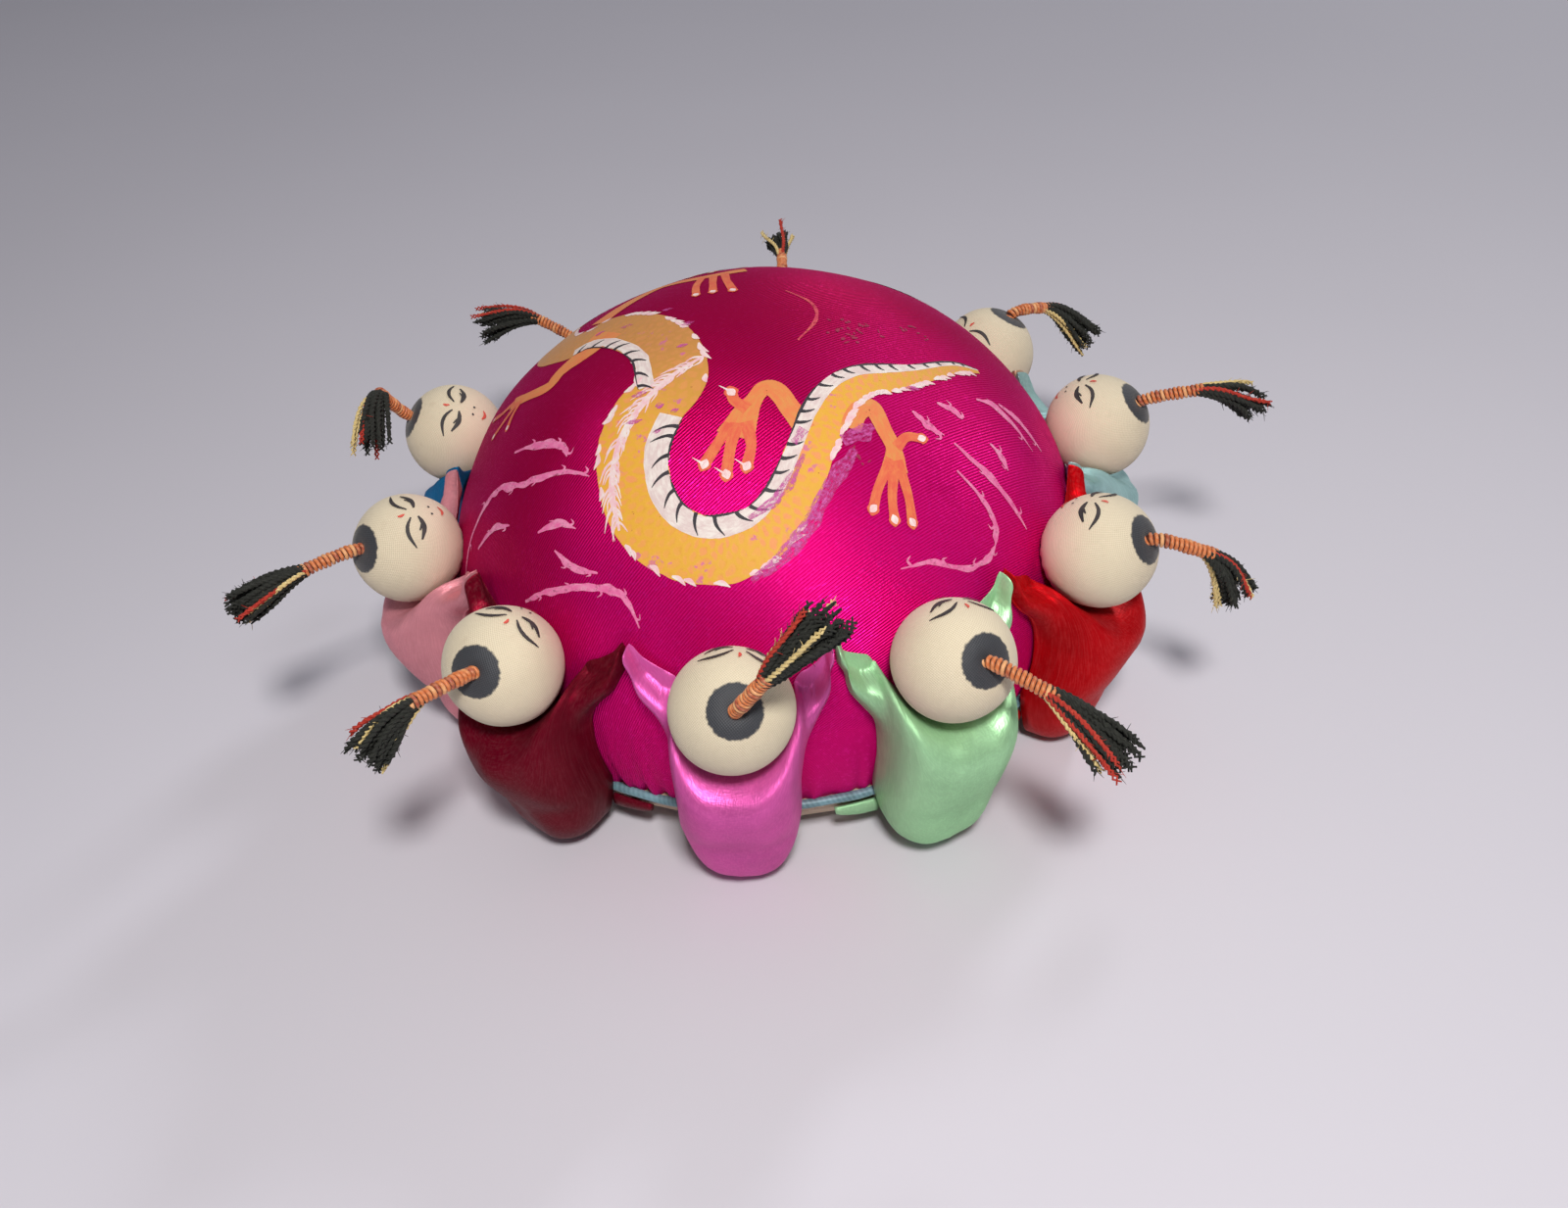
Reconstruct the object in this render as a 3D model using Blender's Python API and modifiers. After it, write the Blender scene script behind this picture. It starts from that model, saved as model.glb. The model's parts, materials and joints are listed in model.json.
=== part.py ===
"""Satin pincushion with ten padded children holding hands round a dome, each with a swinging queue.

Sizes are in millimetres here and become metres where objects are made. The origin is the centre of
the flat underside, +Z is up and child 1 faces -Y.
"""

import math

import bmesh
import bpy
from mathutils import Vector

MM = 0.001
GAP = 0.3                       # clearance between pieces that touch
CLOTH = 0.45                    # thickness of a layer of lined satin

# Driving dimensions
DOME_RADIUS = 44.6              # at the waist of the dome
DOME_TOP = 60.0
DOME_WAIST = 23.0               # height of the widest level
DOME_LOWER_FULLNESS = 2.5       # superellipse power below the waist
DOME_UPPER_FULLNESS = 2.0       # power 2 is a plain ellipse
SEAM_HEIGHT = 8.5               # where the dome cover meets the base cover
FLAT_RADIUS = 32.0              # flat part of the underside
BOARD_THICKNESS = 1.4
CORD_RADIUS = 0.65
HEAD_RADIUS = 7.6
WRAP_RADIUS = 1.0
WRAP_LENGTH = 8.0               # from the queue's root pivot to the tassel's pivot
SHOULDER_ANGLE = 12.6           # degrees from the child's middle to where the arm leaves the body
BODY_HALF_WIDTH = 7.5           # of the child's body below the arms
ROBE_POINTS = 7                 # points up the front of each section of a robe
HEM_FULLNESS = 0.62             # share of a robe's thickness at the hem
CHEST_FULLNESS = 0.45           # added to it on the way up to the chest
ROBE_SQUARENESS = 0.35          # power of the section: lower is squarer
TOP_INSETS = 3.0                # the wadding stops this many insets below the neck and the rising arms

# Where each child sits: azimuth from -Y towards +X, in degrees
AZIMUTHS = {1: -6, 2: -41, 3: -77, 4: -112, 5: -150, 6: 173, 7: 130, 8: 95, 9: 59, 10: 25}
HEAD_HEIGHTS = {1: 33.4, 2: 33.2, 3: 33.6, 4: 33.6, 5: 29.0, 6: 33.0, 7: 31.4, 8: 33.4, 9: 33.4, 10: 34.0}

# Each child's crown, wrapped queue and tassel point their own way: azimuth and elevation in degrees
CROWNS = {1: (7, 41), 2: (-21, 34), 3: (-50, 28), 4: (-80, 36), 5: (-142, 24),
          6: (174, 35), 7: (102, 59), 8: (69, 40), 9: (56, 31), 10: (30, 33)}
WRAPS = {1: (63, 55), 2: (-47, 6), 3: (-56, -2), 4: (-12, 53), 5: (-112, 22),
         6: (178, 0), 7: (118, -18), 8: (80, 8), 9: (84, -24), 10: (58, -20)}
TASSELS = {1: (95, 44), 2: (-60, -35), 3: (-58, -14), 4: (-8, -35), 5: (-90, -8),
           6: (-176, -5), 7: (80, -45), 8: (85, -22), 9: (100, -65), 10: (48, -31)}
TASSEL_LENGTHS = {1: 11, 2: 8.5, 3: 9.5, 4: 9.5, 5: 10, 6: 8, 7: 9.5, 8: 9, 9: 8.5, 10: 11}

# Linear RGB colour and roughness of each material
RASPBERRY = ((0.55, 0.0, 0.13), 0.4)
WADDING = ((0.72, 0.66, 0.55), 0.95)
CARD = ((0.45, 0.36, 0.24), 0.9)
LINING = ((0.35, 0.05, 0.08), 0.7)
CORD_TEAL = ((0.22, 0.42, 0.45), 0.35)
MUSLIN = ((0.72, 0.56, 0.38), 0.85)
THREAD_ORANGE = ((0.55, 0.13, 0.03), 0.6)
YARN_BLACK = ((0.012, 0.01, 0.009), 0.8)
ROBES = {1: (0.52, 0.05, 0.30), 2: (0.16, 0.008, 0.012), 3: (0.75, 0.36, 0.46), 4: (0.10, 0.38, 0.62),
         5: (0.62, 0.42, 0.08), 6: (0.22, 0.08, 0.40), 7: (0.62, 0.45, 0.30), 8: (0.30, 0.55, 0.55),
         9: (0.52, 0.02, 0.025), 10: (0.24, 0.50, 0.30)}
ROBE_ROUGHNESS = 0.4


def clear_scene():
    for old in list(bpy.data.objects):
        bpy.data.objects.remove(old, do_unlink=True)


def parts_collection():
    collection = bpy.data.collections.new("ten_children_pincushion")
    bpy.context.scene.collection.children.link(collection)
    return collection


def material(name, colour, roughness):
    made = bpy.data.materials.new(name)
    made.use_nodes = True
    shader = made.node_tree.nodes["Principled BSDF"]
    shader.inputs["Base Color"].default_value = (*colour, 1.0)
    shader.inputs["Roughness"].default_value = roughness
    shader.inputs["Metallic"].default_value = 0.0
    return made


def add_object(name, mesh, look, collection):
    """Put a finished mesh in the collection under its node name, shaded smooth."""
    for polygon in mesh.polygons:
        polygon.use_smooth = True
    mesh.materials.append(look)
    made = bpy.data.objects.new(name, mesh)
    collection.objects.link(made)
    return made


def direction(azimuth, elevation):
    """Unit vector at an azimuth from -Y towards +X and an elevation above the floor, in degrees."""
    turn = math.radians(azimuth)
    rise = math.radians(elevation)
    return Vector((math.sin(turn) * math.cos(rise), -math.cos(turn) * math.cos(rise), math.sin(rise)))


def dome_radius(height):
    """Radius of the dome's outer surface at a height."""
    if height < DOME_WAIST:
        power = DOME_LOWER_FULLNESS
    else:
        power = DOME_UPPER_FULLNESS
    rise = min(abs(height - DOME_WAIST) / (DOME_TOP - DOME_WAIST), 1.0)
    return DOME_RADIUS * (1.0 - rise ** power) ** (1.0 / power)


def turned(name, profile, look, collection, steps, wall=0.0):
    """Turn a profile of (radius, height) points, given top to bottom, and thicken it inwards if asked."""
    mesh = bpy.data.meshes.new(name)
    points = [(radius * MM, 0.0, height * MM) for radius, height in profile]
    edges = [(first, first + 1) for first in range(len(points) - 1)]
    mesh.from_pydata(points, edges, [])
    made = add_object(name, mesh, look, collection)
    screw = made.modifiers.new("turn", "SCREW")
    screw.steps = steps
    screw.render_steps = steps
    screw.use_merge_vertices = True
    screw.merge_threshold = 0.00001
    screw.use_smooth_shade = True
    if wall:
        solidify = made.modifiers.new("cloth", "SOLIDIFY")
        solidify.thickness = wall * MM
        solidify.offset = -1.0
        solidify.use_even_offset = True
    return made


def dome_arc(inset, lowest, count):
    """Profile of the dome from its top to a level, drawn a given distance inside its surface."""
    top = DOME_TOP - DOME_WAIST
    end = math.asin(min((DOME_WAIST - lowest) / top, 1.0))
    points = []
    for index in range(count):
        angle = math.pi / 2 - (math.pi / 2 + end) * index / (count - 1)
        height = DOME_WAIST + top * math.sin(angle)
        radius = dome_radius(height)
        shrink = 1.0 - inset / DOME_RADIUS
        points.append((radius * shrink, DOME_WAIST + (height - DOME_WAIST) * (1.0 - inset / top)))
    points[0] = (0.0, points[0][1])
    return points


def base_arc(inset, highest, count):
    """Profile of the underside from the seam in to the edge of its flat, a given distance inside."""
    start = dome_radius(SEAM_HEIGHT) - inset
    points = []
    for index in range(count):
        angle = math.pi / 2 * index / (count - 1)
        radius = FLAT_RADIUS + (start - FLAT_RADIUS) * math.cos(angle)
        height = inset + (highest - inset) * (1.0 - math.sin(angle))
        points.append((radius, height))
    return points


def build_cushion(collection):
    """The cushion itself: two covers meeting at the seam, the board and the filling between them."""
    satin = material("dome_satin", *RASPBERRY)
    turned("dome_cover", dome_arc(0.0, SEAM_HEIGHT + GAP, 12), satin, collection, 40, CLOTH)

    lining = material("base_cloth", *LINING)
    underside = base_arc(0.0, SEAM_HEIGHT - GAP / 2, 6)
    turned("base_cover", underside + [(0.0, 0.0)], lining, collection, 40, CLOTH)

    board_bottom = CLOTH + GAP
    board_top = board_bottom + BOARD_THICKNESS
    board_radius = FLAT_RADIUS - 1.0
    card = material("base_card", *CARD)
    board = [(0.0, board_top), (board_radius, board_top), (board_radius, board_bottom), (0.0, board_bottom)]
    turned("base_board", board, card, collection, 32)

    inset = CLOTH + 2 * GAP
    wadding = material("cushion_wadding", *WADDING)
    filling_bottom = board_top + GAP
    lower = [(radius - inset, max(height, filling_bottom))
             for radius, height in base_arc(inset, SEAM_HEIGHT - GAP, 4)[:3]]
    profile = dome_arc(inset, SEAM_HEIGHT + inset, 10) + lower
    profile += [(FLAT_RADIUS - 2.0, filling_bottom), (0.0, filling_bottom)]
    turned("dome_filling", profile, wadding, collection, 32)


def build_cord(collection):
    """Satin cord laid round the seam, a little proud of the dome."""
    seam_radius = dome_radius(SEAM_HEIGHT) + CORD_RADIUS + GAP
    bpy.ops.mesh.primitive_torus_add(
        major_radius=seam_radius * MM, minor_radius=CORD_RADIUS * MM,
        major_segments=56, minor_segments=6, location=(0.0, 0.0, SEAM_HEIGHT * MM))
    cord = bpy.context.object
    cord.name = "seam_cord"
    cord.data.materials.append(material("cord_satin", *CORD_TEAL))
    for owner in list(cord.users_collection):
        owner.objects.unlink(cord)
    collection.objects.link(cord)
    return cord


def robe_stations(head_height, reach, arms):
    """Sections of a robe from its middle out to one hand.

    Each is (degrees from the middle, bottom height, top height, thickness). The neck and shoulders
    keep below the head, and the hands meet the neighbours' at one height.
    """
    chin = head_height - HEAD_RADIUS
    stations = [(0.0, 0.2, chin - 0.6, 12.8), (5.0, 1.0, chin + 0.4, 12.0), (8.6, 4.6, chin + 3.4, 9.2),
                (10.2, 10.0, chin + 5.2, 6.8), (11.2, 17.0, chin + 6.2, 4.8),
                (SHOULDER_ANGLE, 22.0, chin + 6.8, 3.5)]
    if arms:
        hand = reach - 0.5
        stations.append(((SHOULDER_ANGLE + hand) / 2, 27.0, 34.0, 2.8))
        stations.append((hand, 33.0, 35.5, 1.5))
    return stations


def back_radius(height):
    """Radius of the robe's back, which lies against the dome and hangs straight below the cord."""
    cord_outside = dome_radius(SEAM_HEIGHT) + 2 * CORD_RADIUS + 2 * GAP
    if height < SEAM_HEIGHT:
        return cord_outside
    return max(dome_radius(max(height, DOME_WAIST)) + GAP, cord_outside)


def robe_section(station, inset, count):
    """Front of a robe at one station as (degrees, radius, height) points from bottom to top."""
    angle, bottom, top, thickness = station
    angle *= 1.0 - inset / BODY_HALF_WIDTH
    bottom += inset
    top -= inset * TOP_INSETS
    points = []
    for index in range(count):
        sweep = math.pi * index / (count - 1)
        share = (1.0 - math.cos(sweep)) / 2
        height = bottom + (top - bottom) * share
        lean = HEM_FULLNESS + CHEST_FULLNESS * share
        bulge = max(thickness - inset, 0.3) * lean * max(math.sin(sweep), 0.0) ** ROBE_SQUARENESS
        points.append((angle, back_radius(height) + bulge, height))
    return points


def round_axis(point):
    """A (degrees, radius, height) point as a place in metres, with 0 degrees at -Y."""
    angle, radius, height = point
    turn = math.radians(angle)
    return Vector((radius * math.sin(turn), -radius * math.cos(turn), height)) * MM


def half_spans(number):
    """Half the angle to each neighbour, as (towards smaller azimuth, towards larger azimuth)."""
    others = [(AZIMUTHS[other] - AZIMUTHS[number]) % 360 for other in AZIMUTHS if other != number]
    return (360 - max(others)) / 2, min(others) / 2


def robe_sections(number, arms, inset, count):
    """All sections of a child's robe from its left hand to its right hand."""
    left, right = half_spans(number)
    head_height = HEAD_HEIGHTS[number]
    leftward = [(-angle, *rest) for angle, *rest in robe_stations(head_height, left, arms)[:0:-1]]
    stations = leftward + robe_stations(head_height, right, arms)
    return [robe_section(station, inset, count) for station in stations]


def loft(name, sections, closed):
    """Skin sections of equal length into a mesh, as a sheet or as a closed solid with end caps."""
    shape = bmesh.new()
    rows = [[shape.verts.new(round_axis(point)) for point in section] for section in sections]
    count = len(sections[0])
    spans = count if closed else count - 1
    for row, following in zip(rows, rows[1:]):
        for index in range(spans):
            after = (index + 1) % count
            shape.faces.new((row[index], following[index], following[after], row[after]))
    if closed:
        shape.faces.new(rows[0])
        shape.faces.new(rows[-1][::-1])
        bmesh.ops.recalc_face_normals(shape, faces=shape.faces)
    mesh = bpy.data.meshes.new(name)
    shape.to_mesh(mesh)
    shape.free()
    return mesh


def build_robe(number, collection):
    """A child's padded robe: satin over the front, and the wadding between it and the dome."""
    turn = math.radians(AZIMUTHS[number])
    look = material(f"child_{number}_satin", ROBES[number], ROBE_ROUGHNESS)
    front = loft("robe", robe_sections(number, True, 0.0, ROBE_POINTS), False)
    cover = add_object(f"child_{number}_robe", front, look, collection)
    cover.rotation_euler.z = turn
    solidify = cover.modifiers.new("cloth", "SOLIDIFY")
    solidify.thickness = CLOTH * MM
    solidify.offset = -1.0

    fill_look = material(f"child_{number}_fill", *WADDING)
    inset = CLOTH + 2 * GAP
    sections = []
    for section in robe_sections(number, False, inset, ROBE_POINTS):
        angle = section[0][0]
        sections.append(section + [(angle, back_radius(height) + GAP / 2, height)
                                   for height in (section[-1][2] - GAP, section[0][2] + GAP)])
    body = loft("wadding", sections[1:-1], True)
    fill = add_object(f"child_{number}_robe_wadding", body, fill_look, collection)
    fill.rotation_euler.z = turn


def head_centre(number):
    """Centre of a head that lies against the dome at its own height."""
    height = HEAD_HEIGHTS[number]
    surface = dome_radius(height)
    top = DOME_TOP - DOME_WAIST
    lean = (height - DOME_WAIST) / top ** 2 * DOME_RADIUS ** 2 / surface
    ring = surface + (HEAD_RADIUS + GAP) * math.hypot(1.0, lean)
    return direction(AZIMUTHS[number], 0.0) * ring + Vector((0.0, 0.0, height))


def pointing(target):
    """Rotation that turns +Z to a direction."""
    return Vector((0.0, 0.0, 1.0)).rotation_difference(target)


def build_head(number, collection):
    """Muslin-covered ball with its pole at the crown, where the queue is rooted."""
    shape = bmesh.new()
    bmesh.ops.create_uvsphere(shape, u_segments=14, v_segments=9, radius=HEAD_RADIUS * MM)
    mesh = bpy.data.meshes.new("head")
    shape.to_mesh(mesh)
    shape.free()
    head = add_object(f"child_{number}_head", mesh, material(f"child_{number}_muslin", *MUSLIN), collection)
    head.location = head_centre(number) * MM
    head.rotation_mode = "QUATERNION"
    head.rotation_quaternion = pointing(direction(*CROWNS[number]))


def wrap_profile():
    """Thread-wrapped stub with a round end about each pivot, standing on +Z from its root pivot."""
    far = WRAP_LENGTH
    end = [(WRAP_RADIUS * math.sin(math.radians(a)), far + WRAP_RADIUS * math.cos(math.radians(a)))
           for a in (0, 40, 70)]
    root = [(WRAP_RADIUS * math.sin(math.radians(a)), WRAP_RADIUS * math.cos(math.radians(a)))
            for a in (110, 140, 180)]
    return end + [(WRAP_RADIUS, far), (WRAP_RADIUS, 0.0)] + root


def tassel_profile(length):
    """Bundle of yarn that starts just past the wrap's round end and widens to its cut ends."""
    start = WRAP_RADIUS + GAP
    return [(0.0, length), (1.5, length - 0.3), (1.9, length - 1.6), (1.6, length * 0.55),
            (1.25, start + 1.0), (0.9, start), (0.0, start)]


def build_queue(number, collection):
    """The wrapped queue and its tassel, each with its origin on its own pivot."""
    crown = direction(*CROWNS[number])
    root = head_centre(number) + crown * (HEAD_RADIUS + GAP + WRAP_RADIUS)
    along = direction(*WRAPS[number])
    wrap = turned(f"child_{number}_queue_wrap", wrap_profile(),
                  material(f"child_{number}_thread", *THREAD_ORANGE), collection, 8)
    wrap.location = root * MM
    wrap.rotation_mode = "QUATERNION"
    wrap.rotation_quaternion = pointing(along)

    tassel = turned(f"child_{number}_queue_tassel", tassel_profile(TASSEL_LENGTHS[number]),
                    material(f"child_{number}_yarn", *YARN_BLACK), collection, 8)
    tassel.location = (root + along * WRAP_LENGTH) * MM
    tassel.rotation_mode = "QUATERNION"
    tassel.rotation_quaternion = pointing(direction(*TASSELS[number]))


def main():
    clear_scene()
    collection = parts_collection()
    build_cushion(collection)
    build_cord(collection)
    for number in AZIMUTHS:
        build_robe(number, collection)
        build_head(number, collection)
        build_queue(number, collection)


main()
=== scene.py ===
"""A satin pincushion: a padded dome with a painted dragon, ringed by ten padded children holding hands."""
import json
import math
import random

import bmesh
import bpy
import numpy as np
from bpy.props import FloatProperty, FloatVectorProperty, IntProperty, PointerProperty
from mathutils import Matrix, Vector


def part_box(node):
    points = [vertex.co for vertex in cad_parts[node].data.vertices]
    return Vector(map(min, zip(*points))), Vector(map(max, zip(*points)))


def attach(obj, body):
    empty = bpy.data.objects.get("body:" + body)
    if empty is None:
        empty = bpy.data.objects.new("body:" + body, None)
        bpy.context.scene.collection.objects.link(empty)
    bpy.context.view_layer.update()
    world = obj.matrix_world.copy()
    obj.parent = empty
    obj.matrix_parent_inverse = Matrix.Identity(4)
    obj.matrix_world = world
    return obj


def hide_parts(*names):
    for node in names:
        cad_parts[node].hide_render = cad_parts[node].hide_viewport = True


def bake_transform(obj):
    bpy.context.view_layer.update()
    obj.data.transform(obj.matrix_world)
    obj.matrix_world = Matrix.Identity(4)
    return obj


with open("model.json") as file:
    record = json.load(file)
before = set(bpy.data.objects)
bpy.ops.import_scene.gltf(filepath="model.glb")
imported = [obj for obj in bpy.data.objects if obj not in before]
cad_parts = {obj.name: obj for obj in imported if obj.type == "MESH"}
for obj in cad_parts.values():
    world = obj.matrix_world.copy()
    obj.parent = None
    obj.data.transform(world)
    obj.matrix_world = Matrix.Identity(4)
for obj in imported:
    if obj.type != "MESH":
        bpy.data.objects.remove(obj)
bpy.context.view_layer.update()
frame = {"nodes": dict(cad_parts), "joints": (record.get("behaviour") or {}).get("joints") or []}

bl_info = {
    "name": "Ten children pincushion",
    "version": (1, 0, 0),
    "blender": (4, 5, 0),
    "location": "3D View > Sidebar > Pincushion",
    "description": "Builds a hand-sewn satin pincushion around its packed CAD frame",
    "category": "Object",
}

MM = 0.001
CUSHION = "cushion"
CLOTH_SCALE = 100.0             # millimetres of cloth to one unit of the UV map
CHILDREN = range(1, 11)

# The dome's painted design is laid out on a map of the dome seen from above: degrees from the top,
# to the right and to the back. Lines are listed from one end to the other.
BODY_LINE = ((24, 38), (16, 44), (2, 50), (-16, 48), (-30, 38), (-37, 24), (-37, 12), (-31, 5.5),
             (-26, 5), (-19.5, 0), (-14, -8), (-12.5, -17), (-17, -23), (-20, -28.5),
             (-21, -34), (-20.5, -40.5), (-17.5, -46.5), (-12, -50.5), (-6, -51.5), (0, -49.5),
             (4, -45.5), (7, -40.5), (9.5, -34.5), (12, -28.5), (15, -23.5), (19, -20),
             (24, -18), (30, -15), (37.5, -10), (43, -7.5))
BODY_WIDTHS = (8, 10, 11, 11, 11, 10.5, 10, 10, 10.5, 11, 11.5, 12, 13, 13.5, 13, 13, 12.5, 12,
               12, 10.5, 9, 8.5, 8, 8, 7.5, 7, 6.5, 4.5, 3, 1)
BELLY_START = 12
THROAT = (7, 12)
MANE_LINE = ((-6.5, -13), (-14.5, -18), (-21.5, -26), (-25, -35.5), (-25, -44))
CLOUD_LINES = (
    ((-45.5, -16.5), (-38.5, -20), (-33.5, -23.5), (-33, -26)),
    ((-73.5, -28), (-62, -23.5), (-55, -21.5), (-50.5, -22), (-45, -25), (-39, -27),
     (-32.5, -29.5), (-29, -32)),
    ((-61.5, -29), (-54, -29.5), (-49, -32)),
    ((-42, -37.5), (-37, -38), (-33.5, -40.5)),
    ((-39, -42.5), (-36, -47), (-31, -50)),
    ((-50, -48), (-43.5, -49), (-36, -51), (-29.5, -53.5), (-26.5, -56.5), (-25.5, -62)),
    ((41, -17), (46, -16.5), (55.5, -21.5)),
    ((46.5, -15), (52, -16), (59, -19)),
    ((35.5, -29.5), (45, -34.5), (55, -40)),
    ((36, -35), (43.5, -40), (46, -44.5), (45, -49.5), (40, -53), (31.5, -53.5), (25, -55.5)),
    ((43.5, -26.5), (46, -28), (48, -30.5)),
    ((27.5, -25), (30.5, -27.5), (33.5, -28.5)),
    ((32.5, -21.5), (35.5, -22), (37.5, -23.5)),
)
# A leg is its line and widths, then its toes: each the line to its tip.
LEGS = (
    (((-24, 3), (-28, -0.5), (-33.5, -3), (-36.5, -5.5), (-42, -3), (-47, 0.5)),
     (7.5, 5.5, 3.5, 3, 2.5, 3),
     (((-46, 0), (-51, 2), (-55, 5.5)), ((-45, -1.5), (-50, -3), (-53.5, -3.5)),
      ((-44, -2), (-46.5, -4.5), (-48, -7)))),
    (((8.5, -31.5), (6.5, -27.5), (4.5, -23.5), (2.5, -22.5), (0.5, -25), (-1, -27.5), (-3, -31.5)),
     (3.5, 3.5, 3.5, 3, 3, 4.5, 6.5),
     (((-3.5, -29), (-6, -32.5), (-8.5, -36)), ((-2.5, -29), (-4, -34), (-5, -38.5)),
      ((-1, -29), (-0.5, -33.5), (-1.5, -37.5)), ((-0.5, -26.5), (-2.5, -24.5), (-3, -22.5)))),
    (((16, -31), (17.5, -27.5), (20, -26), (22, -30.5), (23.5, -34), (23.5, -38)),
     (3.5, 3.5, 3.5, 3, 3, 5),
     (((23, -36), (20.5, -41.5), (19.5, -45.5)), ((23.5, -36.5), (23, -42.5), (23.5, -47)),
      ((24, -36), (26, -42), (27, -47)), ((24, -33.5), (26, -31), (29, -30.5)))),
    (((-27, 11), (-20, 18), (-15, 22), (-6.5, 19), (1, 20)), (5, 4, 3.5, 3, 3.5),
     (((-7, 19), (-8, 13), (-8, 7.5)), ((-5, 18.5), (-5, 12), (-5, 7.5)),
      ((-3, 19), (-2.5, 12.5), (-1.5, 7)))),
    (((-22, 47), (-20, 40), (-12, 36), (-6, 30)), (5, 4, 3, 4.5),
     (((-7, 31), (-8, 27), (-10, 25)), ((-6, 30), (-5, 27), (-5.5, 24.5)),
      ((-5, 31), (-1.5, 28), (0.5, 26.5)))),
)

# Where the body's paint has rubbed away: a long edge, patches with their widths, and spots with their
# width and length.
WORN_EDGE = ((-2.5, -57.6), (4, -53.5), (9.5, -46.5), (13.6, -39.5), (16.6, -35))
WORN_PATCHES = (
    (((-2, -46.8), (3, -43.8), (6, -40), (8, -36)), (0.8, 1.7, 1.5, 0.7)),
    (((14.5, -33.5), (17.5, -32), (20, -30)), (2.2, 3.2, 1.5)),
    (((6.5, -34), (8.5, -31.5)), (1.6, 1.8)),
)
WORN_SPOTS = (
    ((-20.5, 2.2), 1.1, 2.4), ((-9.5, -3.2), 1.1, 2.4), ((-26, 4.4), 1, 2.2),
    ((-10.5, -9.5), 0.9, 2), ((-18.3, -19), 1.2, 2.8), ((-15, -22.6), 1.4, 1.6),
    ((-19.6, -24.6), 1.0, 3), ((-12.6, -24.4), 0.9, 1.6), ((-15.9, -27.8), 0.8, 1.5),
    ((-13, 3.6), 0.9, 2), ((8.5, -47.2), 1, 2), ((28, -19.6), 1.2, 3),
)
# Marks of old pins: the middle of each cluster, how far it spreads and how many marks it has.
PIN_CLUSTERS = (((18.2, -6.5), 5.5, 26), ((29.5, -1.7), 3.5, 10), ((17, -36.5), 2.4, 9))

# Brows, eyes and marks of a child's face: degrees from the crown of its hair, then degrees to the side.
BROW = ((66, 6), (60, 16), (59.5, 28), (66, 42))
EYE = ((73.5, 6), (75.5, 13), (76, 21), (72, 33))
EYE_TICK = ((74.5, 17), (71, 23))
NOSTRIL = ((88.4, 4.4), (89.6, 4.8), (90.6, 4.6))
FOREHEAD_MARK = ((54.5, 0.6), (58, -0.4), (61.5, 0.5))
MOUTH = ((101, -6), (104, 0), (101, 6))
FACE_TURN = {1: -16, 2: -18, 3: -25, 4: -30, 5: 8, 6: -10, 7: 12, 8: 3, 9: -2, 10: -17}
ROBE_COLOURS = {1: (0.72, 0.115, 0.42), 2: (0.155, 0.002, 0.014), 3: (0.80, 0.31, 0.36),
                4: (0.004, 0.16, 0.36), 5: (0.62, 0.40, 0.07), 6: (0.20, 0.07, 0.38),
                7: (0.62, 0.40, 0.27), 8: (0.37, 0.59, 0.58), 9: (0.52, 0.002, 0.006),
                10: (0.38, 0.68, 0.38)}
HEM_LEAN = {1: -2.2, 10: -1.2}
TUCKED = range(2, 11)           # children whose robe has cloth folded behind the hem


# ---------------------------------------------------------------- sizes and colours a user may change

def length(name, description, millimetres):
    """A length property with its default given in millimetres."""
    return FloatProperty(name=name, description=description, default=millimetres * MM, min=0.0,
                         precision=5, subtype="DISTANCE", unit="LENGTH")


def colour(name, description, rgb):
    """A colour property."""
    return FloatVectorProperty(name=name, description=description, default=rgb, size=3, min=0.0, max=1.0,
                               subtype="COLOR")


class DomeSettings(bpy.types.PropertyGroup):
    """Shape and satin of the dome."""
    radius: length("Radius", "Radius of the dome at its widest", 45.8)
    crown: length("Crown", "Height of the top above the widest part", 37.0)
    waist: length("Waist", "Height of the widest part above the table", 23.0)
    seam: length("Seam", "Height of the seam above the table", 8.5)
    tuck: length("Tuck", "Depth at which the lower curve would close", 31.5)
    gather: length("Gather", "Height of the gathers at the seam", 0.5)
    swell: length("Swell", "Unevenness of the filling felt through the satin", 0.22)
    twill: length("Twill", "Distance between two lines of the weave", 0.43)
    # The first colour below is the satin's shaded copy and the second its lit copy: painted shade and painted
    # highlight.
    satin: colour("Satin", "Colour of the satin in its folds", (0.40, 0.0, 0.034))
    bright: colour("Bright satin", "Colour of the satin where its floats catch light", (0.66, 0.001, 0.13))
    cord: colour("Cord", "Colour of the seam cord", (0.17, 0.33, 0.38))
    cord_radius: length("Cord radius", "Half the thickness of the seam cord", 0.62)


class PaintSettings(bpy.types.PropertyGroup):
    """Colours of the painted dragon and clouds."""
    lift: length("Lift", "Thickness of the paint", 0.05)
    yellow: colour("Yellow", "Body colour", (0.74, 0.375, 0.022))
    orange: colour("Orange", "Scales and upper body", (0.68, 0.27, 0.065))
    limb: colour("Limb", "Legs and toes", (0.74, 0.19, 0.06))
    white: colour("White", "Belly, mane and talons", (0.80, 0.74, 0.68))
    ink: colour("Ink", "Lines of the belly", (0.012, 0.012, 0.016))
    cloud: colour("Cloud", "Wisps of cloud", (0.82, 0.30, 0.48))
    worn: colour("Worn", "Where the paint has rubbed away", (0.58, 0.08, 0.36))


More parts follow.
